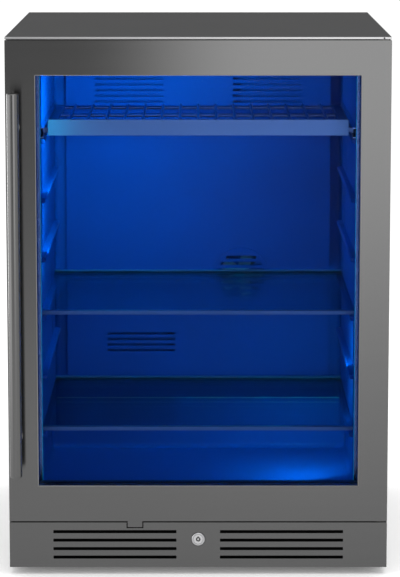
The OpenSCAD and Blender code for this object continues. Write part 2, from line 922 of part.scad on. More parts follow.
/* ---------- hinges and fasteners ---------- */

// upper hinge plate with its riveted pin
module upper_hinge() {
  color([0.7, 0.7, 0.72])
    difference() {
      union() {
        block([hinge_plate_x0, hinge_y - 12, slab_z0], [hinge_plate_x1, hinge_plate_y1, slab_z0 + hinge_plate_t]);
        rod_z(hinge_x, hinge_y, door_z1 - 20, slab_z0 + tiny, hinge_pin_r);
      }
      for (x = hinge_screw_x)
        for (y = hinge_screw_y)
          rod_z(x, y, slab_z0 - 1, slab_z0 + 4, 2.05);
    }
}

// lower hinge bracket that carries the door
module lower_hinge() {
  color([0.7, 0.7, 0.72])
    difference() {
      union() {
        block([264, hinge_y - 11, low_plate_z], [295.5, cab_y, low_plate_z + low_plate_t]);
        block([264, cab_y - 3, 44], [295.5, cab_y, low_plate_z + low_plate_t]);
        rod_z(hinge_x, hinge_y, low_plate_z, door_z0 + 22, hinge_pin_r);
      }
      for (x = low_screw_x)
        for (z = low_screw_z)
          rod_y(x, cab_y - 5, cab_y + 1, z, 2.05);
    }
}

// every screw that fixes the hinges, grille, lock guide and service cover
module cabinet_screws() {
  color([0.75, 0.75, 0.77]) {
    for (x = low_screw_x)
      for (z = low_screw_z)
        screw_y(x, cab_y - 5.2, z, 3.4, 2.2, 2, 14);
    for (s = [-1, 1])
      screw_y(s * 284, cab_y - 3.7, grille_screw_z, 3.4, 2.2, 2, 9);
    for (x = guide_screw_x)
      screw_y(x, cab_y - 3.3, guide_screw_z, 2.8, 1.8, 1.5, 10);
    for (x = hinge_screw_x)
      for (y = hinge_screw_y) {
        rod_z(x, y, slab_z0 - 14, slab_z0 + hinge_plate_t + 0.1, 2);
        rod_z(x, y, slab_z0 + hinge_plate_t, slab_z0 + hinge_plate_t + 0.7, 3.8);
      }
    for (x = [-cover_screw_x, cover_screw_x])
      for (z = cover_screw_z)
        mirror([0, 1, 0])
          screw_y(x, -back_y, z, 3.6, sheet_t, 2, 8);
  }
}

/* ---------- shelves and rack rails ---------- */

// fixed rails screwed to the side walls for the sliding rack
module rack_runners() {
  color([0.72, 0.73, 0.75])
    for (s = [-1, 1])
      mirror([s > 0 ? 0 : 1, 0, 0])
        difference() {
          block([243, rail_y0 + 4, 686], [rail_x, rail_y1 - 4, 702]);
          block([242, rail_y0, 687.5], [rail_x - 1.5, rail_y1, 700.5]);
        }
}

shelf_z = [shelf_base, shelf_base + 2 * shelf_pitch];

// tempered glass shelf plates
module glass_shelves() {
  color([0.6, 0.8, 0.9, 0.4])
    for (z = shelf_z)
      block([-shelf_x + 0.5, shelf_y0 + 1.2, z + 0.8], [shelf_x - 0.5, shelf_y1 - 1.2, z + 0.8 + shelf_t]);
}

// metal edge profiles on the front and rear of each glass plate
module shelf_trims() {
  color([0.72, 0.75, 0.8])
    for (z = shelf_z)
      for (s = [-1, 1]) {
        y0 = s < 0 ? shelf_y0 : shelf_y1 - 10;
        difference() {
          block([-shelf_x, y0, z], [shelf_x, y0 + 10, z + shelf_t + 2]);
          block([-shelf_x - 1, s < 0 ? y0 + 1.2 : y0 - 1, z + 0.8],
                [shelf_x + 1, s < 0 ? y0 + 11 : y0 + 8.8, z + 0.8 + shelf_t]);
        }
      }
}

/* ---------- door ---------- */

// brushed steel door skin folded round the frame
module door_skin() {
  color([0.15, 0.15, 0.16])
    difference() {
      block([-half_w, face_y, door_z0], [half_w, face_y + skin_depth, door_z1]);
      block([-half_w + skin_t, face_y + skin_t, door_z0 + skin_t],
            [half_w - skin_t, face_y + skin_depth + 1, door_z1 - skin_t]);
      slot_xz(-win_x, win_x, (win_z0 + win_z1) / 2, win_z1 - win_z0, 2, face_y - 1, face_y + 3);
      rod_z(hinge_x, hinge_y, door_z0 - 1, door_z1 + 1, 8.5);
      for (z = post_z)
        rod_y(handle_x, face_y - 1, face_y + 3, z, 2.7);
      for (x = tab_screw_x)
        rod_z(x, -238, door_z0 - 1, door_z0 + 3, 1.6);
    }
}

// moulded inner door frame that holds the glass unit
module door_frame() {
  color([0.05, 0.05, 0.06])
    difference() {
      union() {
        block([-half_w + skin_t, face_y + skin_t, door_z0 + skin_t],
              [half_w - skin_t, face_y + skin_depth + 1, door_z1 - skin_t]);
        block([-half_w, face_y + skin_depth, door_z0], [half_w, door_back, door_z1]);
      }
      block([-unit_x, face_y, unit_z0], [unit_x, rear_pane_y + pane_t, unit_z1]);
      block([-win_x - 0.7, face_y, win_z0 - 0.7], [win_x + 0.7, door_back + 1, win_z1 + 0.7]);
      ring_xz(seal_x - 3, seal_z0 + 3, seal_z1 - 3, seal_x - 7, seal_z0 + 7, seal_z1 - 7, door_back - 5, door_back + 1);
      rod_z(hinge_x, hinge_y, door_z1 - 24, door_z1 + 1, 7);
      rod_z(hinge_x, hinge_y, door_z0 - 1, door_z0 + 26, 7);
      for (z = post_z) {
        rod_y(handle_x, face_y, door_back + 1, z, 2.7);
        rod_y(handle_x, face_y + 6, door_back + 1, z, 5);
      }
      for (x = tab_screw_x)
        rod_z(x, -238, door_z0 - 1, door_z0 + 14, 1.6);
    }
}

tab_screw_x = [tab_x - 5, tab_x + 5];
handle_x = -283.2;
handle_y = face_y - handle_reach;
handle_z0 = 168;
handle_z1 = handle_z0 + handle_len;
post_z = [handle_z0 + post_inset, handle_z1 - post_inset];

// outer pane of the insulating glass unit, with its edge spacer
module glass_unit_front() {
  color([0.3, 0.5, 0.7, 0.3]) {
    block([-unit_x + 0.3, front_pane_y, unit_z0 + 0.3], [unit_x - 0.3, front_pane_y + pane_t, unit_z1 - 0.3]);
    ring_xz(unit_x - 0.3, unit_z0 + 0.3, unit_z1 - 0.3, win_x + 0.7, win_z0 - 0.7, win_z1 + 0.7,
            front_pane_y + pane_t - tiny, rear_pane_y - 0.1);
  }
}

// inner pane of the insulating glass unit
module glass_unit_rear() {
  color([0.3, 0.5, 0.7, 0.3])
    block([-unit_x + 0.3, rear_pane_y, unit_z0 + 0.3], [unit_x - 0.3, rear_pane_y + pane_t - 0.1, unit_z1 - 0.3]);
}

// magnetic door seal with its root pressed into the frame
module door_seal() {
  color([0.1, 0.1, 0.11]) {
    ring_xz(seal_x, seal_z0, seal_z1, seal_x - seal_w, seal_z0 + seal_w, seal_z1 - seal_w,
            door_back, cab_y - 0.2);
    ring_xz(seal_x - 3.1, seal_z0 + 3.1, seal_z1 - 3.1, seal_x - 6.9, seal_z0 + 6.9, seal_z1 - 6.9,
            door_back - 4.8, door_back + tiny);
  }
}

// handle bar with chamfered ends
module handle_bar() {
  color([0.3, 0.3, 0.31])
    difference() {
      union() {
        translate([handle_x, handle_y, handle_z0])
          cylinder(r1 = handle_r - 0.8, r2 = handle_r, h = 0.8 + tiny);
        rod_z(handle_x, handle_y, handle_z0 + 0.8, handle_z1 - 0.8, handle_r);
        translate([handle_x, handle_y, handle_z1 - 0.8 - tiny])
          cylinder(r1 = handle_r, r2 = handle_r - 0.8, h = 0.8);
      }
      for (z = post_z)
        rod_y(handle_x, handle_y - 1, face_y, z, post_r + 0.05);
    }
}

post_r = 6;

// two posts that carry the handle bar
module handle_posts() {
  color([0.3, 0.3, 0.31])
    for (z = post_z)
      difference() {
        rod_y(handle_x, handle_y, face_y, z, post_r);
        rod_y(handle_x, face_y - 14, face_y + 1, z, 2.05);
      }
}

// screws that hold the handle posts from inside the door
module handle_screws() {
  color([0.7, 0.7, 0.72])
    for (z = post_z)
      mirror([0, 1, 0])
        screw_y(handle_x, -face_y - 9.5, z, 4.5, 3.2, 2, 17);
}

// plastic bushes that run on the hinge pins
module hinge_bushes() {
  color([0.85, 0.85, 0.83]) {
    difference() {
      union() {
        rod_z(hinge_x, hinge_y, door_z1 - 23.5, door_z1, 6.95);
        rod_z(hinge_x, hinge_y, door_z1 - tiny, door_z1 + 1.2, 8);
      }
      rod_z(hinge_x, hinge_y, door_z1 - 21, door_z1 + 3, hinge_pin_r + 0.05);
    }
    difference() {
      union() {
        rod_z(hinge_x, hinge_y, door_z0, door_z0 + 25.5, 6.95);
        rod_z(hinge_x, hinge_y, low_plate_z + low_plate_t, door_z0 + tiny, 8);
      }
      rod_z(hinge_x, hinge_y, low_plate_z, door_z0 + 23, hinge_pin_r + 0.05);
    }
  }
}

// folded strike that hangs from the door and takes the lock bolt
module lock_strike() {
  color([0.2, 0.2, 0.21]) {
    difference() {
      union() {
        block([tab_x - tab_w / 2, face_y, tab_z], [tab_x + tab_w / 2, face_y + 1.5, door_z0]);
        for (x = [tab_x - tab_w / 2, tab_x + tab_w / 2 - 1.5])
          block([x, face_y, tab_z], [x + 1.5, -227, door_z0]);
        block([tab_x - tab_w / 2, face_y, door_z0 - 1.2], [tab_x + tab_w / 2, -227, door_z0]);
      }
      block([tab_x, bolt_y - 3.2, bolt_z - 2.9], [tab_x + 20, bolt_y + 3.2, bolt_z + 2.9]);
      for (x = tab_screw_x)
        rod_z(x, -238, door_z0 - 3, door_z0 + 1, 1.6);
    }
    for (x = tab_screw_x) {
      rod_z(x, -238, door_z0 - 2.6, door_z0 - 1.2 - 0.02, 2.8);
      rod_z(x, -238, door_z0 - 1.3, door_z0 + 12, 1.5);
    }
  }
}

/* ---------- sliding wine rack ---------- */

rack_wire = 3;
rack_y1 = 195;
slide_y0 = rack_y0 + 30;

// folded steel front of the sliding rack
module rack_front() {
  color([0.6, 0.66, 0.75]) {
    block([-rack_x, rack_y0, rack_z0], [rack_x, rack_y0 + 1.5, rack_z1]);
    block([-rack_x, rack_y0, rack_z1 - 1.5], [rack_x, rack_y0 + 9, rack_z1]);
    block([-rack_x, rack_y0, rack_z0], [rack_x, rack_y0 + 9, rack_z0 + 1.5]);
  }
}

// welded wire deck for lying bottles, with its slide members
module rack_wires() {
  color([0.7, 0.74, 0.8]) {
    for (y = [rack_y0 + 5, -50, 70, rack_y1])
      rod_x(-232, 232, y, 694, rack_wire);
    for (x = [-232, 232])
      rod_y(x, rack_y0 + 1.5, rack_y1, 694, rack_wire);
    for (x = [-210 : 30 : 210])
      rod_y(x, rack_y0 + 1.5, rack_y1, 698.5, 2);
    for (s = [-1, 1])
      mirror([s > 0 ? 0 : 1, 0, 0]) {
        block([243.8, slide_y0, 688.5], [246, rack_y1, 699.5]);
        block([231, slide_y0, 690.5], [243.8 + tiny, rack_y1, 697.5]);
      }
  }
}

top_panel();
top_front_trim();
side_panel_left();
side_panel_right();
rear_panel();
front_frame();
base_pan();
machine_bay_panel();
insulation_foam();
inner_liner();
shelf_supports();
air_duct_cover();
evaporator();
circulation_fan_motor();
circulation_fan();
led_bars();
led_lenses();
control_panel();
touch_display();
compressor();
compressor_grommets();
condenser_coil();
condenser_fan_shroud();
condenser_fan_motor();
condenser_fan();
air_divider();
drip_tray();
filter_drier();
refrigerant_pipes();
service_cover();
mains_box();
foot_sockets();
foot_front_left();
foot_front_right();
foot_rear_left();
foot_rear_right();
toe_grille();
lock_barrel();
lock_plug();
lock_cam();
lock_bolt();
lock_guide();
upper_hinge();
lower_hinge();
cabinet_screws();
rack_runners();
glass_shelves();
shelf_trims();
door_skin();
door_frame();
glass_unit_front();
glass_unit_rear();
door_seal();
handle_bar();
handle_posts();
handle_screws();
hinge_bushes();
lock_strike();
rack_front();
rack_wires();
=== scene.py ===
import json
import math

import bmesh
import bpy
from mathutils import Matrix, Vector


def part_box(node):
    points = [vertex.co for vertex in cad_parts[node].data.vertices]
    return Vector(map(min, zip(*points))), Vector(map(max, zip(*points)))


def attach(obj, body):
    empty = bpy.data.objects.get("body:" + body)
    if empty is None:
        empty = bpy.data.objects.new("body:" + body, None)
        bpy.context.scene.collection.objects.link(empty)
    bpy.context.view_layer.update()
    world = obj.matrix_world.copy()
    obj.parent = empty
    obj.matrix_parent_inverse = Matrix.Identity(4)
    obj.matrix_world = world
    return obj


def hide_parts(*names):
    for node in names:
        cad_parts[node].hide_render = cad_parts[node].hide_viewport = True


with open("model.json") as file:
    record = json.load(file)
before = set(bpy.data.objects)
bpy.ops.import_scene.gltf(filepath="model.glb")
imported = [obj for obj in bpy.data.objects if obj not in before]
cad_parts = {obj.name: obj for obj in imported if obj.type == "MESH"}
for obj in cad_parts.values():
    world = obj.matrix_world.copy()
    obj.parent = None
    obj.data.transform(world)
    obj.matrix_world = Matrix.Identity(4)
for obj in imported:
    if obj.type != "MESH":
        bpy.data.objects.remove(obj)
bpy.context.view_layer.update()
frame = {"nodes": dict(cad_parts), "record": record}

bl_info = {
    "name": "Wine Cooler Builder",
    "version": (1, 0, 0),
    "blender": (4, 5, 0),
    "location": "3D View > Sidebar > Wine Cooler",
    "description": "Dresses a glass-door wine cooler with its finishes and fine pieces",
    "category": "Object",
}

NODES = frame["nodes"]
SKIN_LO, SKIN_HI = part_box("door_skin")
LINER_LO, LINER_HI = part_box("inner_liner")
PANE_LO, PANE_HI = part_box("glass_unit_front")
REAR_PANE_LO, REAR_PANE_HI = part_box("glass_unit_rear")
SEAL_LO, SEAL_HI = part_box("door_seal")
BAR_LO, BAR_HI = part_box("handle_bar")
FACE = SKIN_LO.y

WINDOW_HALF = 0.2518
WINDOW_LOW = SKIN_LO.z + 0.0564
WINDOW_HIGH = SKIN_HI.z - 0.0534
PANE_THICK = 0.004
CAVITY_HALF = 0.2525
CAVITY_FLOOR = 0.115
CAVITY_ROOF = 0.800
STEP_FRONT = 0.110
STEP_TOP = 0.205
SLOT_INNER = 0.031
SLOT_OUTER = 0.232
SLOT_BOTTOM = 0.0225
SLOT_TOP = 0.0762
LOCK_Z = 0.0575
HINGE_X = 0.2857
PAN_TOP = 0.016
CARD_GLOW = 2.5

# ---------------------------------------------------------------- shader tools


class Signal:
    """A number socket that can be used in expressions."""

    def __init__(self, finish, socket):
        self.finish = finish
        self.socket = socket

    def _math(self, operation, first, second=None):
        inputs = {0: first} if second is None else {0: first, 1: second}
        node = self.finish.add("ShaderNodeMath", {"operation": operation}, inputs)
        return Signal(self.finish, node.outputs[0])

    def __add__(self, other):
        return self._math("ADD", self, other)

    __radd__ = __add__

    def __sub__(self, other):
        return self._math("SUBTRACT", self, other)

    def __rsub__(self, other):
        return self._math("SUBTRACT", other, self)

    def __mul__(self, other):
        return self._math("MULTIPLY", self, other)

    __rmul__ = __mul__

    def __pow__(self, other):
        return self._math("POWER", self, other)

    def step(self, edge):
        return self._math("GREATER_THAN", self, edge)

    def clamped(self):
        return self._math("MINIMUM", self._math("MAXIMUM", self, 0.0), 1.0)


class Finish:
    """A material with one Principled shader and tools to feed it."""

    def __init__(self, name):
        self.material = bpy.data.materials.new(name)
        self.material.use_nodes = True
        self.tree = self.material.node_tree
        self.tree.nodes.clear()
        self.output = self.tree.nodes.new("ShaderNodeOutputMaterial")
        self.shader = self.tree.nodes.new("ShaderNodeBsdfPrincipled")
        self.tree.links.new(self.shader.outputs[0], self.output.inputs[0])
        self.place = self.add("ShaderNodeTexCoord").outputs["Object"]

    def feed(self, socket, value):
        if isinstance(value, Signal):
            value = value.socket
        if isinstance(value, bpy.types.NodeSocket):
            self.tree.links.new(value, socket)
        else:
            socket.default_value = value

    def add(self, kind, settings=None, inputs=None):
        node = self.tree.nodes.new(kind)
        for key, value in (settings or {}).items():
            setattr(node, key, value)
        for key, value in (inputs or {}).items():
            self.feed(node.inputs[key], value)
        return node

    def set(self, **inputs):
        for key, value in inputs.items():
            self.feed(self.shader.inputs[key.replace("_", " ")], value)
        return self

    def noise(self, scale, stretch=(1, 1, 1), detail=2.0, rough=0.5):
        spot = self.add("ShaderNodeMapping", {}, {"Vector": self.place, "Scale": stretch})
        node = self.add(
            "ShaderNodeTexNoise",
            {},
            {"Vector": spot.outputs[0], "Scale": scale, "Detail": detail, "Roughness": rough},
        )
        return Signal(self, node.outputs["Fac"])

    def cells(self, scale, feature="F1", output="Distance"):
        node = self.add(
            "ShaderNodeTexVoronoi", {"feature": feature}, {"Vector": self.place, "Scale": scale}
        )
        return Signal(self, node.outputs[output]) if output == "Distance" else node.outputs[output]

    def axis(self, name):
        node = self.add("ShaderNodeSeparateXYZ", {}, {0: self.place})
        return Signal(self, node.outputs[name])

    def blend(self, factor, low, high):
        node = self.add("ShaderNodeMix", {"data_type": "RGBA"}, {0: factor, 6: low, 7: high})
        return node.outputs[2]

    def bump(self, height, strength, distance):
        node = self.add(
            "ShaderNodeBump", {}, {"Strength": strength, "Distance": distance, "Height": height}
        )
        self.feed(self.shader.inputs["Normal"], node.outputs[0])
        return self


def tint(colour, factor):
    return tuple(min(1.0, c * factor) for c in colour[:3]) + (1.0,)


def brushed(name, colour, grain, rough=0.34, spread=0.16, drawn=0.0):
    """Brushed steel. grain is small along the brush lines, drawn stretches the sheen across them."""
    f = Finish(name)
    hair = f.noise(1.0, grain, 3.0, 0.6)
    band = f.noise(1.0, tuple(g * 0.06 for g in grain), 2.0)
    cloud = f.noise(3.0, (1, 1, 1), 2.0)
    mix = (hair * 0.6 + band * 0.2 + cloud * 0.2).clamped()
    f.set(
        Base_Color=f.blend(mix, tint(colour, 1 - spread), tint(colour, 1 + spread)),
        Metallic=1.0,
        Roughness=(hair * 0.08 + band * 0.03 + (rough - 0.055)).clamped(),
        Anisotropic=drawn,
        Anisotropic_Rotation=0.25,
    )
    return f.bump(hair, 0.04, 0.0001).material


def powder(name, colour, rough=0.45, metallic=0.0, peel=900.0, specular=0.5):
    """Baked powder coat with a fine orange peel."""
    f = Finish(name)
    skin = f.noise(peel, (1, 1, 1), 2.0)
    cloud = f.noise(5.0, (1, 1, 1), 3.0)
    f.set(
        Base_Color=f.blend(cloud, tint(colour, 0.86), tint(colour, 1.14)),
        Metallic=metallic,
        Specular_IOR_Level=specular,
        Roughness=(skin * 0.12 + cloud * 0.1 + (rough - 0.1)).clamped(),
    )
    return f.bump(skin, 0.18, 0.0003).material


def moulded(name, colour, rough=0.4, grain=1500.0, coat=0.0):
    """Moulded plastic with a spark-eroded grain and soft flow marks."""
    f = Finish(name)
    grain_field = f.noise(grain, (1, 1, 1), 3.0, 0.6)
    flow = f.noise(9.0, (1, 1, 0.3), 2.0)
    f.set(
        Base_Color=f.blend(flow, tint(colour, 0.88), tint(colour, 1.12)),
        Roughness=(grain_field * 0.16 + flow * 0.06 + (rough - 0.1)).clamped(),
        Coat_Weight=coat,
    )
    return f.bump(grain_field, 0.15, 0.0002).material


def rubber(name, colour):
    """Soft black rubber with a dusty bloom."""
    f = Finish(name)
    bloom = f.noise(40.0, (1, 1, 1), 4.0, 0.65)
    fine = f.noise(2200.0, (1, 1, 1), 2.0)
    f.set(
        Base_Color=f.blend(bloom, tint(colour, 0.7), tint(colour, 1.7)),
        Roughness=(bloom * 0.2 + 0.6).clamped(),
    )
    return f.bump(fine, 0.25, 0.0003).material


def galvanised(name, colour):
    """Zinc-dipped sheet with its spangle of crystals."""
    f = Finish(name)
    crystal = f.cells(95.0, output="Color")
    edge = f.cells(95.0, feature="DISTANCE_TO_EDGE")
    grey = f.add("ShaderNodeRGBToBW", {}, {0: crystal}).outputs[0]
    shade = Signal(f, grey)
    cloud = f.noise(6.0, (1, 1, 1), 3.0)
    f.set(
        Base_Color=f.blend((shade * 0.75 + cloud * 0.25).clamped(), tint(colour, 0.78), tint(colour, 1.12)),
        Metallic=0.85,
        Roughness=(shade * 0.22 + cloud * 0.12 + 0.3).clamped(),
    )
    return f.bump((edge * 12.0).clamped(), 0.1, 0.0002).material


def plated(name, colour, rough=0.24):
    """Zinc or nickel plating over turned steel."""
    f = Finish(name)
    turn = f.noise(1.0, (700, 700, 3000), 2.0)
    cloud = f.noise(60.0, (1, 1, 1), 3.0)
    f.set(
        Base_Color=f.blend(cloud, tint(colour, 0.82), tint(colour, 1.1)),
        Metallic=1.0,
        Roughness=(turn * 0.12 + cloud * 0.1 + (rough - 0.1)).clamped(),
    )
    return f.bump(turn, 0.12, 0.0001).material


def copper(name, colour):
    """Drawn copper tube with darker tarnish patches."""
    f = Finish(name)
    stain = f.noise(45.0, (1, 1, 1), 5.0, 0.7)
    draw = f.noise(1.0, (1200, 1200, 1200), 1.0)
    f.set(
        Base_Color=f.blend((stain * 1.5 - 0.3).clamped(), tint(colour, 1.1), (0.2, 0.09, 0.05, 1)),
        Metallic=1.0,
        Roughness=(stain * 0.35 + 0.12).clamped(),
    )
    return f.bump(draw, 0.08, 0.0001).material


def cellular(name, colour):
    """Rigid foam with open cells on its skin."""
    f = Finish(name)
    cell = f.cells(420.0)
    cloud = f.noise(12.0, (1, 1, 1), 3.0)
    f.set(
        Base_Color=f.blend(cloud, tint(colour, 0.82), tint(colour, 1.08)),
        Roughness=(cell * 0.2 + 0.72).clamped(),
    )
    return f.bump(cell, 0.5, 0.0008).material


def pane_glass(name, colour, gloss=1.0):
    """Clear sheet glass: it mirrors by its angle and lets light through."""
    f = Finish(name)
    smear = f.noise(7.0, (1, 1, 1), 4.0, 0.6)
    f.set(
        Base_Color=(1.0, 1.0, 1.0, 1.0),
        Metallic=1.0,
        Roughness=(smear * 0.05 + 0.005).clamped(),
    )
    clear = f.add("ShaderNodeBsdfTransparent", {}, {0: tuple(colour) + (1.0,)})
    mirror = f.add("ShaderNodeFresnel", {}, {"IOR": 1.45})
    share = Signal(f, mirror.outputs[0]) ** 2.0 * gloss
    mix = f.add("ShaderNodeMixShader", {}, {0: share, 1: clear.outputs[0], 2: f.shader.outputs[0]})
    f.tree.links.new(mix.outputs[0], f.output.inputs[0])
    return f.material


def glow(name, colour, strength):
    """Frosted diffuser with the light chips showing softly through it."""
    f = Finish(name)
    wave = f.add(
        "ShaderNodeTexWave",
        {"bands_direction": "Z", "wave_profile": "SIN"},
        {"Vector": f.place, "Scale": 9.5, "Distortion": 0.0},
    )
    chips = Signal(f, wave.outputs["Fac"]) ** 3.0
    grain = f.noise(1800.0)
    low = tint(colour, 0.45)
    f.set(
        Base_Color=f.blend(grain, tint(colour, 0.7), tint(colour, 1.0)),
        Emission_Color=f.blend(chips, low, tint(colour, 1.0)),
        Emission_Strength=strength,
        Roughness=(grain * 0.2 + 0.35).clamped(),
    )
    return f.bump(grain, 0.15, 0.0002).material


def blue_moulding(name, colour, rough):
    """Satin moulded liner sheet: slight waviness from vacuum forming."""
    f = Finish(name)
    wavy = f.noise(6.0, (1, 1, 1), 2.0)
    pores = f.noise(1300.0, (1, 1, 1), 2.0)
    f.set(
        Base_Color=f.blend(wavy, tint(colour, 0.85), tint(colour, 1.15)),
        Specular_IOR_Level=0.15,
        Roughness=(pores * 0.1 + wavy * 0.1 + (rough - 0.1)).clamped(),
    )
    return f.bump(wavy * 0.9 + pores * 0.1, 0.2, 0.0012).material


def key_marks(name):
    """Glossy touch plate with four plain key dots and a row of level bars."""
    f = Finish(name)
    x, y = f.axis("X"), f.axis("Y")
    fine = f.noise(900.0)
    bars = Signal(f, f.add("ShaderNodeMath", {"operation": "SINE"}, {0: x * 1250.0}).outputs[0])
    strip = bars.step(0.2) * (x + 0.022).step(0.0) * (0.022 - x).step(0.0)
    row = (y + 0.189).step(0.0) * (-0.183 - y).step(0.0)
    mark = (strip * row).clamped()
    f.set(
        Base_Color=f.blend(mark, (0.008, 0.008, 0.011, 1), (0.55, 0.8, 1.0, 1)),
        Emission_Color=f.blend(mark, (0, 0, 0, 1), (0.45, 0.75, 1.0, 1)),
        Emission_Strength=0.8,
        Roughness=(fine * 0.06 + 0.08).clamped(),
    )
    return f.bump(fine, 0.04, 0.0001).material


# ---------------------------------------------------------------- mesh tools


def dress(obj, material):
    obj.data.materials.clear()
    obj.data.materials.append(material)


def new_piece(name, mesh_maker, body, material, stands_for=(), smooth=35):
    """Makes an object from a bmesh and rides it on its body."""
    bm = bmesh.new()
    mesh_maker(bm)
    mesh = bpy.data.meshes.new(name)
    bm.to_mesh(mesh)
    bm.free()
    for face in mesh.polygons:
        face.use_smooth = True
    mesh.set_sharp_from_angle(angle=math.radians(smooth))
    obj = bpy.data.objects.new(name, mesh)
    bpy.context.scene.collection.objects.link(obj)
    level = obj.modifiers.new("flat_faces", "WEIGHTED_NORMAL")
    level.keep_sharp = True
    level.weight = 100
    dress(obj, material)
    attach(obj, body)
    if stands_for:
        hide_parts(*stands_for)
    return obj


def body_of_node(node):
    for body, members in frame["record"]["behaviour"]["bodies"].items():
        if node in members:
            return body
    raise RuntimeError("no body holds " + node)


def edges_at(verts):
    return list({e for v in verts for e in v.link_edges})


def add_block(bm, size, centre):
    """A plain block to be eased or turned, returned as its vertices."""
    verts = bmesh.ops.create_cube(bm, size=1.0)["verts"]
    bmesh.ops.scale(bm, vec=size, verts=verts)
    bmesh.ops.translate(bm, vec=centre, verts=verts)
    return verts


def bevel_edges(bm, edges, width, segments=2):
    bmesh.ops.bevel(
        bm, geom=edges, offset=width, offset_type="OFFSET", segments=segments, profile=0.5,
        affect="EDGES", clamp_overlap=True, material=-1,
    )


def eased(node, width, material, segments=2, sharp=40, smooth=35):
    """A copy of a CAD node whose sharp edges are broken by a small radius."""

    def make(bm):
        bm.from_mesh(NODES[node].data)
        bmesh.ops.remove_doubles(bm, verts=bm.verts, dist=2e-6)
        bmesh.ops.dissolve_limit(
            bm, angle_limit=math.radians(0.6), use_dissolve_boundaries=False,
            verts=bm.verts, edges=bm.edges,
        )
        edges = [
            e for e in bm.edges
            if len(e.link_faces) == 2 and e.calc_face_angle(0.0) > math.radians(sharp)
        ]
        bevel_edges(bm, edges, width, segments)

    return new_piece(
        node + "_eased", make, body_of_node(node), material, (node,), smooth
    )


def add_box(bm, lo, hi, width, segments=2):
    """A box by its corners, with eased edges."""
    lo, hi = Vector(lo), Vector(hi)
    bevel_edges(bm, edges_at(add_block(bm, hi - lo, (lo + hi) / 2)), width, segments)


def add_ring(bm, half, low, high, profile):
    """A mitred ring in the XZ plane. profile holds (inset, y) corners of its section."""
    loops = []
    for sx, top in ((-1, False), (1, False), (1, True), (-1, True)):
        verts = []
        for inset, y in profile:
            z = high - inset if top else low + inset
            verts.append(bm.verts.new((sx * (half - inset), y, z)))
        loops.append([bm.edges.new((verts[i], verts[(i + 1) % len(verts)])) for i in range(len(verts))])
    for i in range(4):
        bmesh.ops.bridge_loops(bm, edges=loops[i] + loops[(i + 1) % 4])
    bmesh.ops.recalc_face_normals(bm, faces=bm.faces)


def add_lathe(bm, centre, axis, profile, steps=48):
    """Turns a profile of (radius, height) round an axis through centre."""
    axis = Vector(axis).normalized()
    side = axis.orthogonal().normalized()
    centre = Vector(centre)
    verts = [bm.verts.new(centre + side * r + axis * h) for r, h in profile]
    edges = [bm.edges.new((verts[i], verts[i + 1])) for i in range(len(verts) - 1)]
    bmesh.ops.spin(
        bm, geom=verts + edges, cent=centre, axis=axis, angle=math.tau, steps=steps, use_merge=True,
    )
    bmesh.ops.remove_doubles(bm, verts=bm.verts, dist=1e-6)
    bmesh.ops.recalc_face_normals(bm, faces=bm.faces)


# ---------------------------------------------------------------- settings


class WineCoolerSizes(bpy.types.PropertyGroup):
    """Fine sizes of the dressed pieces."""

    edge_break: bpy.props.FloatProperty(
        name="Edge break", description="Radius on folded sheet edges",
        default=0.0005, unit="LENGTH",
    )
    # the bead is the window edge piece; its lighter steel is a painted highlight
    bead_width: bpy.props.FloatProperty(
        name="Window bead", description="Width of the bright bead round the window",
        default=0.0011, unit="LENGTH",
    )
    liner_radius: bpy.props.FloatProperty(
        name="Liner corner", description="Radius of the liner's inside corners",
        default=0.009, unit="LENGTH",
    )


class WineCoolerColours(bpy.types.PropertyGroup):
    """Main colours of the finishes."""

    steel: bpy.props.FloatVectorProperty(
        name="Dark steel", description="Colour of the dark brushed steel",
        default=(0.131, 0.131, 0.131), size=3, subtype="COLOR",
    )
    light: bpy.props.FloatVectorProperty(
        name="Cabin light", description="Colour of the light bars",
        default=(0.0, 0.9, 1.0), size=3, subtype="COLOR",
    )
    liner: bpy.props.FloatVectorProperty(
        name="Liner", description="Colour of the moulded liner",
        default=(0.001, 0.076, 0.3), size=3, subtype="COLOR",
    )


class WineCoolerStage(bpy.types.PropertyGroup):
    """Camera and light settings."""

    distance: bpy.props.FloatProperty(
        name="Camera distance", description="From the door face to the camera",
        default=3.873, unit="LENGTH",
    )
    height: bpy.props.FloatProperty(
        name="Camera height", description="Height above the floor", default=1.146, unit="LENGTH",
    )
    pitch: bpy.props.FloatProperty(
        name="Camera pitch", description="How far the camera looks down",
        default=math.radians(8.10), subtype="ANGLE",
    )
    lens: bpy.props.FloatProperty(
        name="Lens", description="Focal length in millimetres", default=157.7,
    )
    cabin_power: bpy.props.FloatProperty(
        name="Cabin light power", description="Watts of each blue light", default=2.2,
    )


MATERIALS = {}


def mat(key):
    if key not in MATERIALS:
        raise RuntimeError("build the finishes first: " + key)
    return MATERIALS[key]


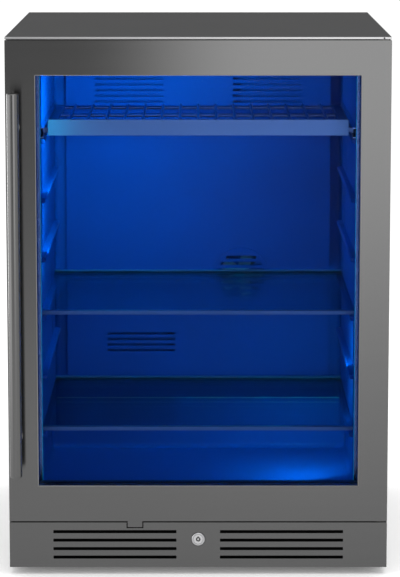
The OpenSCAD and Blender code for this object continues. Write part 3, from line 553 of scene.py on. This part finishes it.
class WINECOOLER_OT_finishes(bpy.types.Operator):
    """Make every finish that the pieces use"""

    bl_idname = "wine_cooler.finishes"
    bl_label = "Make finishes"

    def execute(self, context):
        c = context.scene.wine_cooler_colours
        steel = tuple(c.steel)
        MATERIALS.update({
            "steel_across": brushed("dark_steel_across", steel, (9, 2400, 2400), 0.17, 0.07, 0.9),
            "steel_upright": brushed("dark_steel_upright", steel, (2400, 2400, 9), 0.2, 0.07),
            "top_coat": powder("top_coat", (0.0325, 0.0325, 0.0333), 0.7, 0.0, specular=0.08),
            "side_coat": powder("side_coat", (0.045, 0.045, 0.048), 0.42),
            "dark_coat": powder("dark_coat", (0.03, 0.03, 0.033), 0.5),
            # lighter steel for the top front strip: painted highlight along the rounded top front edge
            "bright_trim": brushed("bright_trim", (0.41, 0.41, 0.415), (8, 1800, 1800), 0.3),
            # slightly lighter steel for the window edge: the edge is real, its lighter tone is a painted
            # highlight
            "window_edge_highlight": brushed("window_edge_highlight", (0.2, 0.2, 0.205), (8, 1800, 1800), 0.3),
            "galvanised": galvanised("galvanised_sheet", (0.5, 0.52, 0.55)),
            "zinc": plated("zinc_plate", (0.62, 0.63, 0.66)),
            "lock_nickel": plated("lock_nickel", (0.66, 0.66, 0.67), 0.2),
            "ring_nickel": plated("ring_nickel", (0.5, 0.5, 0.51), 0.24),
            "fins": plated("fin_stock", (0.72, 0.74, 0.78), 0.3),
            "foam": cellular("rigid_foam", (0.82, 0.74, 0.5)),
            "liner": blue_moulding("liner_sheet", tuple(c.liner), 0.35),
            "ledge": blue_moulding("ledge_moulding", (0.001, 0.088, 0.34), 0.3),
            "duct": blue_moulding("duct_moulding", (0.001, 0.06, 0.25), 0.45),
            "black_plastic": moulded("black_plastic", (0.022, 0.022, 0.025)),
            "frame_plastic": moulded("frame_plastic", (0.03, 0.03, 0.034), 0.45),
            "white_plastic": moulded("white_plastic", (0.72, 0.72, 0.69), 0.42),
            "fan_plastic": moulded("fan_plastic", (0.3, 0.32, 0.35), 0.4),
            "enamel": powder("compressor_enamel", (0.012, 0.012, 0.014), 0.22),
            "rubber": rubber("rubber", (0.022, 0.022, 0.022)),
            "copper": copper("copper_tube", (0.78, 0.38, 0.22)),
            "rack_steel": powder("rack_satin", (0.4, 0.5, 0.56), 0.42, 0.6, 1500.0),
            "wire_steel": plated("wire_steel", (0.3, 0.33, 0.38), 0.3),
            "shelf_metal": powder("shelf_satin", (0.16, 0.24, 0.34), 0.4, 0.5, 1500.0),
            "shelf_glass": pane_glass("shelf_glass", (0.9, 0.96, 0.99), 0.6),
            "door_glass": pane_glass("door_glass", (0.78, 0.84, 0.95), 0.5),
            "spacer": plated("spacer_bar", (0.12, 0.12, 0.13), 0.35),
            "cabin_glow": glow("cabin_glow", tuple(c.light), 0.22),
            "touch": key_marks("touch_plate"),
            # near-black with no sheen, darker than any coat: painted shade for the slot backs, the machine
            # bay and the keyway
            "painted_shade_black": powder("painted_shade_black", (0.0016, 0.0016, 0.0016), 0.85, specular=0.0),
        })
        return {"FINISHED"}


class WINECOOLER_OT_door(bpy.types.Operator):
    """Dress the door: skin, window edge in lighter steel as a painted highlight, glass unit, seal, handle
    and strike
    """

    bl_idname = "wine_cooler.door"
    bl_label = "Door"

    def execute(self, context):
        s = context.scene.wine_cooler_sizes
        eased("door_skin", s.edge_break, mat("steel_across"))
        eased("door_frame", 0.0012, mat("frame_plastic"))
        eased("lock_strike", 0.0003, mat("steel_across"), 1)
        # window edge piece in lighter steel: a painted highlight on the edge
        w = s.bead_width
        bead = ((0, FACE + 0.0004), (0, FACE + 0.00138), (w, FACE + 0.00138), (w * 0.8, FACE + 0.0006))
        new_piece(
            "window_edge_highlight", lambda bm: add_ring(bm, WINDOW_HALF, WINDOW_LOW, WINDOW_HIGH, bead),
            "door", mat("window_edge_highlight"),
        )
        pane_back = PANE_LO.y + PANE_THICK
        panes = (
            ("front_pane", PANE_LO, (PANE_HI.x, pane_back, PANE_HI.z), "glass_unit_front"),
            ("rear_pane", REAR_PANE_LO, REAR_PANE_HI, "glass_unit_rear"),
        )
        for name, lo, hi, node in panes:
            new_piece(
                name, lambda bm, lo=lo, hi=hi: add_box(bm, lo, hi, 0.0006),
                "door", mat("door_glass"), (node,),
            )
        back = REAR_PANE_LO.y - 0.0002
        spacer = (
            (0.0003, pane_back + 0.0002), (0.0003, back), (0.0088, back), (0.0094, back - 0.001),
            (0.0094, pane_back + 0.0012), (0.0088, pane_back + 0.0002),
        )
        new_piece(
            "glass_spacer", lambda bm: add_ring(bm, PANE_HI.x, PANE_LO.z, PANE_HI.z, spacer),
            "door", mat("spacer"),
        )
        self.seal()
        self.handle()
        return {"FINISHED"}

    def seal(self):
        """Bellows seal: a magnet bulb at the back and a folded web to its root."""
        root, tip = SKIN_LO.y + 0.042, SEAL_HI.y
        d = tip - root
        profile = (
            (0.0000, root + 0.0002), (0.0010, root + d * 0.30), (0.0000, root + d * 0.52),
            (0.0004, root + d * 0.92), (0.0012, tip), (0.0086, tip), (0.0096, root + d * 0.9),
            (0.0100, root + d * 0.55), (0.0088, root + d * 0.34), (0.0100, root + 0.0002),
            (0.0070, root + 0.0002), (0.0070, root - 0.0045), (0.0032, root - 0.0045),
            (0.0032, root + 0.0002),
        )
        new_piece(
            "door_seal_bellows",
            lambda bm: add_ring(bm, SEAL_HI.x, SEAL_LO.z, SEAL_HI.z, profile),
            "door", mat("rubber"), ("door_seal",), 50,
        )

    def handle(self):
        """Turned handle bar with eased ends, on two posts with a collar at the door."""
        centre = (BAR_LO + BAR_HI) / 2
        r = (BAR_HI.x - BAR_LO.x) / 2
        n = (BAR_HI.z - BAR_LO.z) / 2
        profile = (
            (0, -n), (r - 0.0016, -n), (r - 0.0011, -n + 0.0002), (r - 0.0002, -n + 0.0009),
            (r, -n + 0.0016), (r, 0), (r, n - 0.0016), (r - 0.0002, n - 0.0009),
            (r - 0.0011, n - 0.0002), (r - 0.0016, n), (0, n),
        )
        new_piece(
            "handle_bar_turned", lambda bm: add_lathe(bm, centre, (0, 0, 1), profile, 64), "door",
            mat("steel_upright"), ("handle_bar",), 50,
        )
        lo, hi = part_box("handle_posts")
        pr = (hi.x - lo.x) / 2

        def posts(bm):
            for z in (lo.z + pr, hi.z - pr):
                length = FACE - 0.00005 - (lo.y + 0.002)
                shape = (
                    (0, 0), (pr, 0), (pr, length - 0.0035), (pr + 0.0002, length - 0.003),
                    (pr + 0.002, length - 0.0024), (pr + 0.0024, length - 0.0018),
                    (pr + 0.0024, length), (0, length),
                )
                add_lathe(bm, (centre.x, lo.y + 0.002, z), (0, 1, 0), shape, 40)

        new_piece(
            "handle_posts_turned", posts, "door", mat("steel_upright"),
            ("handle_posts",), 50,
        )


class WINECOOLER_OT_case(bpy.types.Operator):
    """Dress the case: slab, strip, sides, rear, frame, grille, cover and feet"""

    bl_idname = "wine_cooler.case"
    bl_label = "Case"

    def execute(self, context):
        s = context.scene.wine_cooler_sizes
        eased("top_panel", 0.0004, mat("top_coat"))
        # the top front strip in lighter steel, a painted highlight
        eased("top_front_trim", 0.0004, mat("bright_trim"))
        eased("side_panel_left", s.edge_break, mat("side_coat"))
        eased("side_panel_right", s.edge_break, mat("side_coat"))
        eased("front_frame", 0.0003, mat("dark_coat"), 1)
        eased("toe_grille", s.edge_break, mat("steel_across"))
        self.screens()
        self.rear()
        self.cover()
        self.feet()
        self.cap()
        return {"FINISHED"}

    def screens(self):
        """Near-black sheets close behind the two rows of slots: painted shade in the slots."""

        def make(bm):
            for left, right in ((-SLOT_OUTER, -SLOT_INNER), (SLOT_INNER, SLOT_OUTER)):
                lo = (left, FACE + 0.0014, SLOT_BOTTOM)
                add_box(bm, lo, (right, FACE + 0.0021, SLOT_TOP), 0.0002, 1)

        new_piece("slot_shade_sheets", make, "cabinet", mat("painted_shade_black"))

    def rear(self):
        """Rear sheet with pressed stiffening beads."""
        lo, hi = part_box("rear_panel")

        def make(bm):
            add_box(bm, lo, (hi.x, hi.y - 0.0009, hi.z), 0.0003, 1)
            step = (hi.x - lo.x) / 6
            for i in range(1, 6):
                x = lo.x + i * step
                place = (x, hi.y - 0.0007, (lo.z + hi.z) / 2)
                verts = add_block(bm, (0.016, 0.0012, hi.z - lo.z - 0.1), place)
                faces = {f for v in verts for f in v.link_faces if f.normal.y > 0.9}
                edges = list({e for f in faces for e in f.edges})
                bevel_edges(bm, edges, 0.0009, 3)

        new_piece(
            "rear_panel_pressed", make, "cabinet", mat("galvanised"), ("rear_panel",)
        )

    def cover(self):
        """Machine bay cover with pressed louvre hoods over the slots."""
        eased("service_cover", 0.0003, mat("dark_coat"), 1)
        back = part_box("service_cover")[1].y
        tilt = Matrix.Rotation(math.radians(14), 3, "X")

        def hoods(bm):
            for row in range(8):
                for x in (-0.190, -0.070, 0.050, 0.170):
                    place = (x, back + 0.0002, 0.0658 + row * 0.013)
                    made = add_block(bm, (0.1, 0.0011, 0.0036), place)
                    bmesh.ops.rotate(bm, cent=place, matrix=tilt, verts=made)
                    bevel_edges(bm, edges_at(made), 0.00035, 1)

        new_piece("cover_louvres", hoods, "cabinet", mat("dark_coat"))

    def feet(self):
        """Levelling feet with a ribbed pad, a hexagon and a thread."""
        for name in ("foot_front_left", "foot_front_right", "foot_rear_left", "foot_rear_right"):
            lo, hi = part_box(name)
            centre = Vector(((lo.x + hi.x) / 2, (lo.y + hi.y) / 2, 0))
            r = (hi.x - lo.x) / 2
            pad = [(0, 0), (r - 0.0016, 0), (r - 0.0004, 0.0008), (r, 0.002)]
            groove = r - 0.0005
            for i in range(3):
                z = 0.0022 + i * 0.0013
                pad += [(r, z), (groove, z + 0.0003), (groove, z + 0.0007), (r, z + 0.001)]
            pad += [(r - 0.0015, 0.0068), (0.0092, 0.0078), (0.0088, 0.008), (0, 0.008)]

            def pads(bm, centre=centre, pad=pad):
                add_lathe(bm, centre, (0, 0, 1), pad, 56)

            new_piece(name + "_pad", pads, name, mat("rubber"), (name,), 45)
            core, crest, lead = 0.0042, 0.00498, 0.00125
            thread = [(0, 0.0079), (core, 0.0079)]
            z = 0.012
            while z < hi.z - 0.002:
                thread += [(core, z), (crest, z + 0.00055), (core, z + 0.0011)]
                z += lead
            thread += [(0.0036, hi.z), (0, hi.z)]

            def studs(bm, centre=centre, thread=thread):
                add_lathe(bm, centre, (0, 0, 1), thread, 24)
                nut = bmesh.ops.create_cone(
                    bm, cap_ends=True, segments=6, radius1=0.0085, radius2=0.0085, depth=0.004,
                )["verts"]
                bmesh.ops.translate(bm, vec=centre + Vector((0, 0, 0.01)), verts=nut)
                bevel_edges(bm, edges_at(nut), 0.0003, 2)

            new_piece(name + "_stud", studs, name, mat("zinc"), (), 40)

    def cap(self):
        """Small dark plug over the upper hinge in the front strip."""
        lo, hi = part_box("top_front_trim")

        def make(bm):
            shape = ((0, 0), (0.0012, 0), (0.0014, 0.0001), (0.0014, 0.0006), (0, 0.0006))
            add_lathe(bm, (HINGE_X, lo.y - 0.00045, hi.z - 0.0016), (0, 1, 0), shape, 24)

        new_piece("hinge_plug", make, "cabinet", mat("black_plastic"))


class WINECOOLER_OT_inside(bpy.types.Operator):
    """Dress the inside: liner, ledges, duct, shelves, rack, light bars and controls"""

    bl_idname = "wine_cooler.inside"
    bl_label = "Inside"

    def execute(self, context):
        self.liner(context.scene.wine_cooler_sizes.liner_radius)
        eased("shelf_supports", 0.0006, mat("ledge"))
        eased("air_duct_cover", 0.0005, mat("duct"), 1)
        eased("shelf_trims", 0.0002, mat("shelf_metal"), 1)
        eased("rack_front", 0.0004, mat("rack_steel"), 1)
        dress(NODES["rack_wires"], mat("wire_steel"))
        eased("led_bars", 0.0003, mat("zinc"), 1)
        eased("control_panel", 0.0008, mat("black_plastic"))
        self.shelves()
        self.lenses()
        return {"FINISHED"}

    def liner(self, radius):
        """Vacuum-formed liner: one skin with rounded corners and a step at the back."""
        front, back = LINER_LO.y, LINER_HI.y - 0.002

        def make(bm):
            outline = (
                (front, CAVITY_FLOOR), (STEP_FRONT, CAVITY_FLOOR), (STEP_FRONT, STEP_TOP),
                (back, STEP_TOP), (back, CAVITY_ROOF), (front, CAVITY_ROOF),
            )
            verts = [bm.verts.new((-CAVITY_HALF, y, z)) for y, z in outline]
            side = bm.faces.new(verts)
            moved = bmesh.ops.extrude_face_region(bm, geom=[side])["geom"]
            ends = [g for g in moved if isinstance(g, bmesh.types.BMVert)]
            bmesh.ops.translate(bm, vec=(2 * CAVITY_HALF, 0, 0), verts=ends)
            mouth = [f for f in bm.faces if all(abs(v.co.y - front) < 1e-6 for v in f.verts)]
            bmesh.ops.delete(bm, geom=mouth, context="FACES")
            bmesh.ops.recalc_face_normals(bm, faces=bm.faces)
            edges = [e for e in bm.edges if len(e.link_faces) == 2]
            bevel_edges(bm, edges, radius, 5)
            rim = [e for e in bm.edges if len(e.link_faces) == 1]
            flange = bmesh.ops.extrude_edge_only(bm, edges=rim)["geom"]
            outer = [g for g in flange if isinstance(g, bmesh.types.BMVert)]
            mid_z = (CAVITY_FLOOR + CAVITY_ROOF) / 2
            flange_half = 0.2752
            grow = (LINER_HI.z - 0.0002 - LINER_LO.z) / (CAVITY_ROOF - CAVITY_FLOOR)
            for v in outer:
                v.co.x *= flange_half / CAVITY_HALF
                v.co.z = mid_z + (v.co.z - mid_z) * grow
                v.co.z = min(max(v.co.z, LINER_LO.z + 0.0001), LINER_HI.z - 0.0001)
            bmesh.ops.recalc_face_normals(bm, faces=bm.faces)
            probe = max(bm.faces, key=lambda f: f.calc_area())
            centre = Vector((0, 0, mid_z))
            if probe.normal.dot(centre - probe.calc_center_median()) < 0:
                bmesh.ops.reverse_faces(bm, faces=bm.faces)
            bmesh.ops.solidify(bm, geom=list(bm.faces), thickness=0.0014)

        new_piece("liner_formed", make, "cabinet", mat("liner"), ("inner_liner",), 40)

    def shelves(self):
        """Glass plates with ground edges."""
        lo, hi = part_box("glass_shelves")

        def make(bm):
            for z in (lo.z, hi.z - PANE_THICK):
                add_box(bm, (lo.x, lo.y, z), (hi.x, hi.y, z + PANE_THICK), 0.0007)

        new_piece(
            "shelf_plates", make, "cabinet", mat("shelf_glass"), ("glass_shelves",)
        )

    def lenses(self):
        """Rounded diffusers over the light strips."""
        lo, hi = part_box("led_lenses")
        deep = 0.0033

        def make(bm):
            for x in (-hi.x, hi.x - deep):
                add_box(bm, (x, lo.y, lo.z), (x + deep, hi.y, hi.z), 0.0012, 3)

        new_piece("light_diffusers", make, "cabinet", mat("cabin_glow"), ("led_lenses",))


class WINECOOLER_OT_machine(bpy.types.Operator):
    """Dress the machine bay, the hinges, the lock and the hidden pieces"""

    bl_idname = "wine_cooler.machine"
    bl_label = "Machine bay and hardware"

    finishes = {
        "black_plastic": (
            "circulation_fan_motor", "condenser_fan_shroud", "condenser_fan_motor", "air_divider",
            "mains_box",
        ),
        "fan_plastic": ("circulation_fan", "condenser_fan"),
        # base pan and bay panel: black paint pushed down to painted shade, so the bay reads dark through
        # the slots
        "painted_shade_black": ("base_pan", "machine_bay_panel"),
        "foam": ("insulation_foam",),
        "fins": ("evaporator",),
        "dark_coat": ("condenser_coil",),
        "rubber": ("compressor_grommets",),
        "white_plastic": ("drip_tray", "hinge_bushes"),
        "copper": ("filter_drier", "refrigerant_pipes"),
        "zinc": (
            "foot_sockets", "lock_cam", "lock_bolt", "lock_guide", "upper_hinge",
            "lower_hinge", "cabinet_screws", "rack_runners", "handle_screws",
        ),
        "touch": ("touch_display",),
    }

    def execute(self, context):
        for key, nodes in self.finishes.items():
            for node in nodes:
                dress(NODES[node], mat(key))
        self.compressor()
        self.lock()
        return {"FINISHED"}

    def compressor(self):
        """Deep-drawn compressor shell with its weld seam, foot plate and terminal cover."""
        lo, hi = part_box("compressor")
        cx, cy, base, r = 0.150, 0.226, PAN_TOP, 0.066
        shell = [(0, base + 0.0125), (r - 0.02, base + 0.0125), (r - 0.012, base + 0.0145),
                 (r - 0.004, base + 0.019), (r - 0.0008, base + 0.026), (r, base + 0.036),
                 (r, base + 0.0555), (r + 0.0026, base + 0.0562), (r + 0.003, base + 0.0585),
                 (r + 0.0026, base + 0.0608), (r, base + 0.0615), (r, base + 0.082)]
        shoulder, steps = base + 0.082, 8
        for i in range(1, steps + 1):
            a = i / steps * math.pi / 2
            reach = r * math.cos(a) if i < steps else 0
            shell.append((reach, shoulder + math.sin(a) * (hi.z - base - 0.082)))

        def make(bm):
            add_lathe(bm, (cx, cy, 0), (0, 0, 1), shell, 64)
            foot = (lo.x, cy - 0.062, base + 0.0111)
            add_box(bm, foot, (hi.x, cy + 0.062, base + 0.0142), 0.0006)
            terminals = (cx - 0.03, lo.y, base + 0.036)
            add_box(bm, terminals, (cx + 0.03, cy - r + 0.012, base + 0.082), 0.004, 3)

        new_piece(
            "compressor_shell", make, "cabinet", mat("enamel"), ("compressor",), 45
        )

    def lock(self):
        """Ring, barrel and tubular plug, with a black rubber ring under the bezel that also stands in for
        the shadow gap round it, and a black ring of painted shade deep in the keyway.
        """
        eased("lock_barrel", 0.0003, mat("ring_nickel"))
        eased("lock_plug", 0.0002, mat("lock_nickel"), 1)
        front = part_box("lock_plug")[0].y

        # a black ring deep in the keyway groove: painted shade of the recess
        def keyway_shade(bm):
            inner, outer, near, far = 0.00185, 0.00345, 0.0005, 0.0009
            shape = ((inner, near), (inner, far), (outer, far), (outer, near), (inner, near))
            add_lathe(bm, (0, front, LOCK_Z), (0, 1, 0), shape, 32)

        new_piece("keyway_shade_ring", keyway_shade, "lock_plug", mat("painted_shade_black"))

        # black rubber washer a millimetre wider than the bezel: a real washer that also stands in for the
        # shadow gap round the proud ring
        def shadow_washer(bm):
            inner, outer = 0.0093, 0.0112
            shape = (
                (inner, 0), (inner, 0.0003), (outer, 0.0003), (outer + 0.0002, 0.0001), (outer, 0),
                (inner, 0),
            )
            add_lathe(bm, (0, FACE - 0.00035, LOCK_Z), (0, 1, 0), shape, 48)

        new_piece("lock_washer_and_shadow", shadow_washer, "cabinet", mat("rubber"))


class WINECOOLER_OT_stage(bpy.types.Operator):
    """Set the floor, the lights and the camera"""

    bl_idname = "wine_cooler.stage"
    bl_label = "Stage"

    def execute(self, context):
        self.floor()
        self.world(context.scene)
        self.lamps(context.scene)
        self.camera(context.scene)
        return {"FINISHED"}

    def floor(self):
        f = Finish("floor_paint")
        dust = f.noise(1.5, (1, 1, 1), 3.0)
        f.set(
            Base_Color=f.blend(dust, (0.9, 0.9, 0.9, 1), (0.94, 0.94, 0.94, 1)), Roughness=0.85,
            Emission_Color=(1, 1, 1, 1), Emission_Strength=0.14,
        )
        self.plane("floor", (30, 30), Matrix.Identity(4), f.material, False)

    def plane(self, name, half, place, material, glossy=True):
        """A flat stage piece, with its place in its mesh."""
        bm = bmesh.new()
        bmesh.ops.create_grid(bm, x_segments=1, y_segments=1, size=1.0)
        bmesh.ops.scale(bm, vec=(half[0], half[1], 1), verts=bm.verts)
        bmesh.ops.transform(bm, matrix=place, verts=bm.verts)
        mesh = bpy.data.meshes.new(name)
        bm.to_mesh(mesh)
        bm.free()
        obj = bpy.data.objects.new(name, mesh)
        bpy.context.scene.collection.objects.link(obj)
        dress(obj, material)
        obj.visible_glossy = glossy
        return obj

    def card(self):
        """The studio wall that the polished front mirrors, brighter to the right except low down."""
        f = Finish("mirror_card")
        x, z = f.axis("X"), f.axis("Z")
        across = self.ease(x, -0.31, 0.15)
        rise = self.ease(z, -0.42, 0.5)
        foot = self.ease(z, -0.82, -0.66)
        left = 1.17 - rise * 0.77
        right = 1.06 + rise * 1.24
        level = (left + (right - left) * across) * (foot * 0.5 + 0.5)
        front = Matrix.Translation((0.1, -2.8, 0.2)) @ Matrix.Rotation(math.radians(-90), 4, "X")
        self.mirror_only(f, level, (1.5, 1.5), front)
        g = Finish("side_card")
        level = self.ease(g.axis("Z"), -0.45, 0.0) * 1.25 + 1.0
        left = Matrix.Translation((-2.4, -0.9, 0.5)) @ Matrix.Rotation(math.radians(90), 4, "Y")
        self.mirror_only(g, level, (1.5, 1.3), left)

    def mirror_only(self, finish, level, half, place):
        """A glowing card that only reflections see. level is its radiance, below CARD_GLOW."""
        dark, bright = (
            finish.add("ShaderNodeEmission", {}, {0: (1, 1, 1, 1), 1: glow}).outputs[0]
            for glow in (0.0, CARD_GLOW)
        )
        mix = finish.add(
            "ShaderNodeMixShader", {}, {0: level * (1.0 / CARD_GLOW), 1: dark, 2: bright}
        )
        finish.tree.links.new(mix.outputs[0], finish.output.inputs[0])
        obj = self.plane(finish.material.name, half, place, finish.material)
        obj.visible_camera = False
        obj.visible_diffuse = False
        obj.visible_transmission = False
        obj.visible_shadow = False

    def ease(self, signal, start, full):
        ramp = ((signal - start) * (1.0 / (full - start))).clamped()
        return ramp * ramp * (3.0 - 2.0 * ramp)

    def world(self, scene):
        world = bpy.data.worlds.new("studio")
        scene.world = world
        world.use_nodes = True
        back = world.node_tree.nodes["Background"]
        back.inputs[0].default_value = (1, 1, 1, 1)
        back.inputs[1].default_value = 1.0
        scene.view_settings.view_transform = "Standard"

    def area(self, name, place, target, size, power, colour=(1, 1, 1), glossy=True):
        data = bpy.data.lights.new(name, "AREA")
        data.shape = "RECTANGLE"
        data.size, data.size_y = size
        data.energy = power
        data.color = colour
        obj = bpy.data.objects.new(name, data)
        obj.location = place
        obj.rotation_mode = "QUATERNION"
        obj.rotation_quaternion = (Vector(target) - Vector(place)).to_track_quat("-Z", "Y")
        obj.visible_camera = False
        obj.visible_glossy = glossy
        bpy.context.scene.collection.objects.link(obj)
        return obj

    def lamps(self, scene):
        self.area("key_above", (0.6, -1.2, 3.4), (0, 0, 0.2), (3.2, 2.6), 30)
        self.area("rim_left", (-2.4, 1.3, 0.8), (-0.3, -0.2, 0.5), (0.9, 1.8), 22)
        self.area("rim_right", (2.4, 1.3, 0.8), (0.3, -0.2, 0.5), (0.5, 1.8), 14)
        self.card()
        power = scene.wine_cooler_stage.cabin_power
        blue = tuple(scene.wine_cooler_colours.light)
        cabin = (
            ("cabin_upper", (-0.16, -0.14, 0.735), (-0.14, 0.22, 0.66), (0.06, 0.08), 0.9),
            ("cabin_top", (-0.03, -0.02, 0.77), (-0.02, 0.25, 0.76), (0.12, 0.03), 0.22),
            ("cabin_left", (-0.22, -0.14, 0.56), (0.0, 0.2, 0.5), (0.04, 0.2), 0.35),
            ("cabin_lower", (0.19, -0.12, 0.19), (0.05, 0.15, 0.2), (0.08, 0.1), 0.22),
            ("cabin_right", (0.22, -0.14, 0.32), (0.0, 0.2, 0.3), (0.04, 0.12), 0.3),
            ("rack_left", (-0.245, -0.209, 0.702), (0.0, -0.178, 0.7), (0.01, 0.06), 0.025),
        )
        for name, place, target, size, share in cabin:
            self.area(name, place, target, size, power * share, blue, False)

    def camera(self, scene):
        s = scene.wine_cooler_stage
        data = bpy.data.cameras.new("camera")
        data.lens = s.lens
        data.sensor_width = 36
        data.shift_x = 0.0031
        data.shift_y = -0.15
        data.clip_end = 100
        obj = bpy.data.objects.new("camera", data)
        obj.location = (0, FACE - s.distance, s.height)
        obj.rotation_euler = (math.radians(90) - s.pitch, 0, 0)
        scene.collection.objects.link(obj)
        scene.camera = obj


class WINECOOLER_PT_panel(bpy.types.Panel):
    """Lists the build steps"""

    bl_label = "Wine Cooler"
    bl_idname = "WINECOOLER_PT_panel"
    bl_space_type = "VIEW_3D"
    bl_region_type = "UI"
    bl_category = "Wine Cooler"

    def draw(self, context):
        scene = context.scene
        for group in (scene.wine_cooler_sizes, scene.wine_cooler_colours, scene.wine_cooler_stage):
            box = self.layout.box()
            for key in group.bl_rna.properties.keys():
                if key not in ("rna_type", "name"):
                    box.prop(group, key)
        for step in STEPS:
            self.layout.operator("wine_cooler." + step)


STEPS = ("finishes", "door", "case", "inside", "machine", "stage")
CLASSES = (
    WineCoolerSizes, WineCoolerColours, WineCoolerStage,
    WINECOOLER_OT_finishes, WINECOOLER_OT_door, WINECOOLER_OT_case, WINECOOLER_OT_inside,
    WINECOOLER_OT_machine, WINECOOLER_OT_stage, WINECOOLER_PT_panel,
)


def register():
    for cls in CLASSES:
        bpy.utils.register_class(cls)
    bpy.types.Scene.wine_cooler_sizes = bpy.props.PointerProperty(type=WineCoolerSizes)
    bpy.types.Scene.wine_cooler_colours = bpy.props.PointerProperty(type=WineCoolerColours)
    bpy.types.Scene.wine_cooler_stage = bpy.props.PointerProperty(type=WineCoolerStage)


def unregister():
    del bpy.types.Scene.wine_cooler_stage
    del bpy.types.Scene.wine_cooler_colours
    del bpy.types.Scene.wine_cooler_sizes
    for cls in reversed(CLASSES):
        bpy.utils.unregister_class(cls)


def main():
    """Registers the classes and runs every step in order."""
    register()
    for step in STEPS:
        getattr(bpy.ops.wine_cooler, step)()


if __name__ == "__main__":
    main()
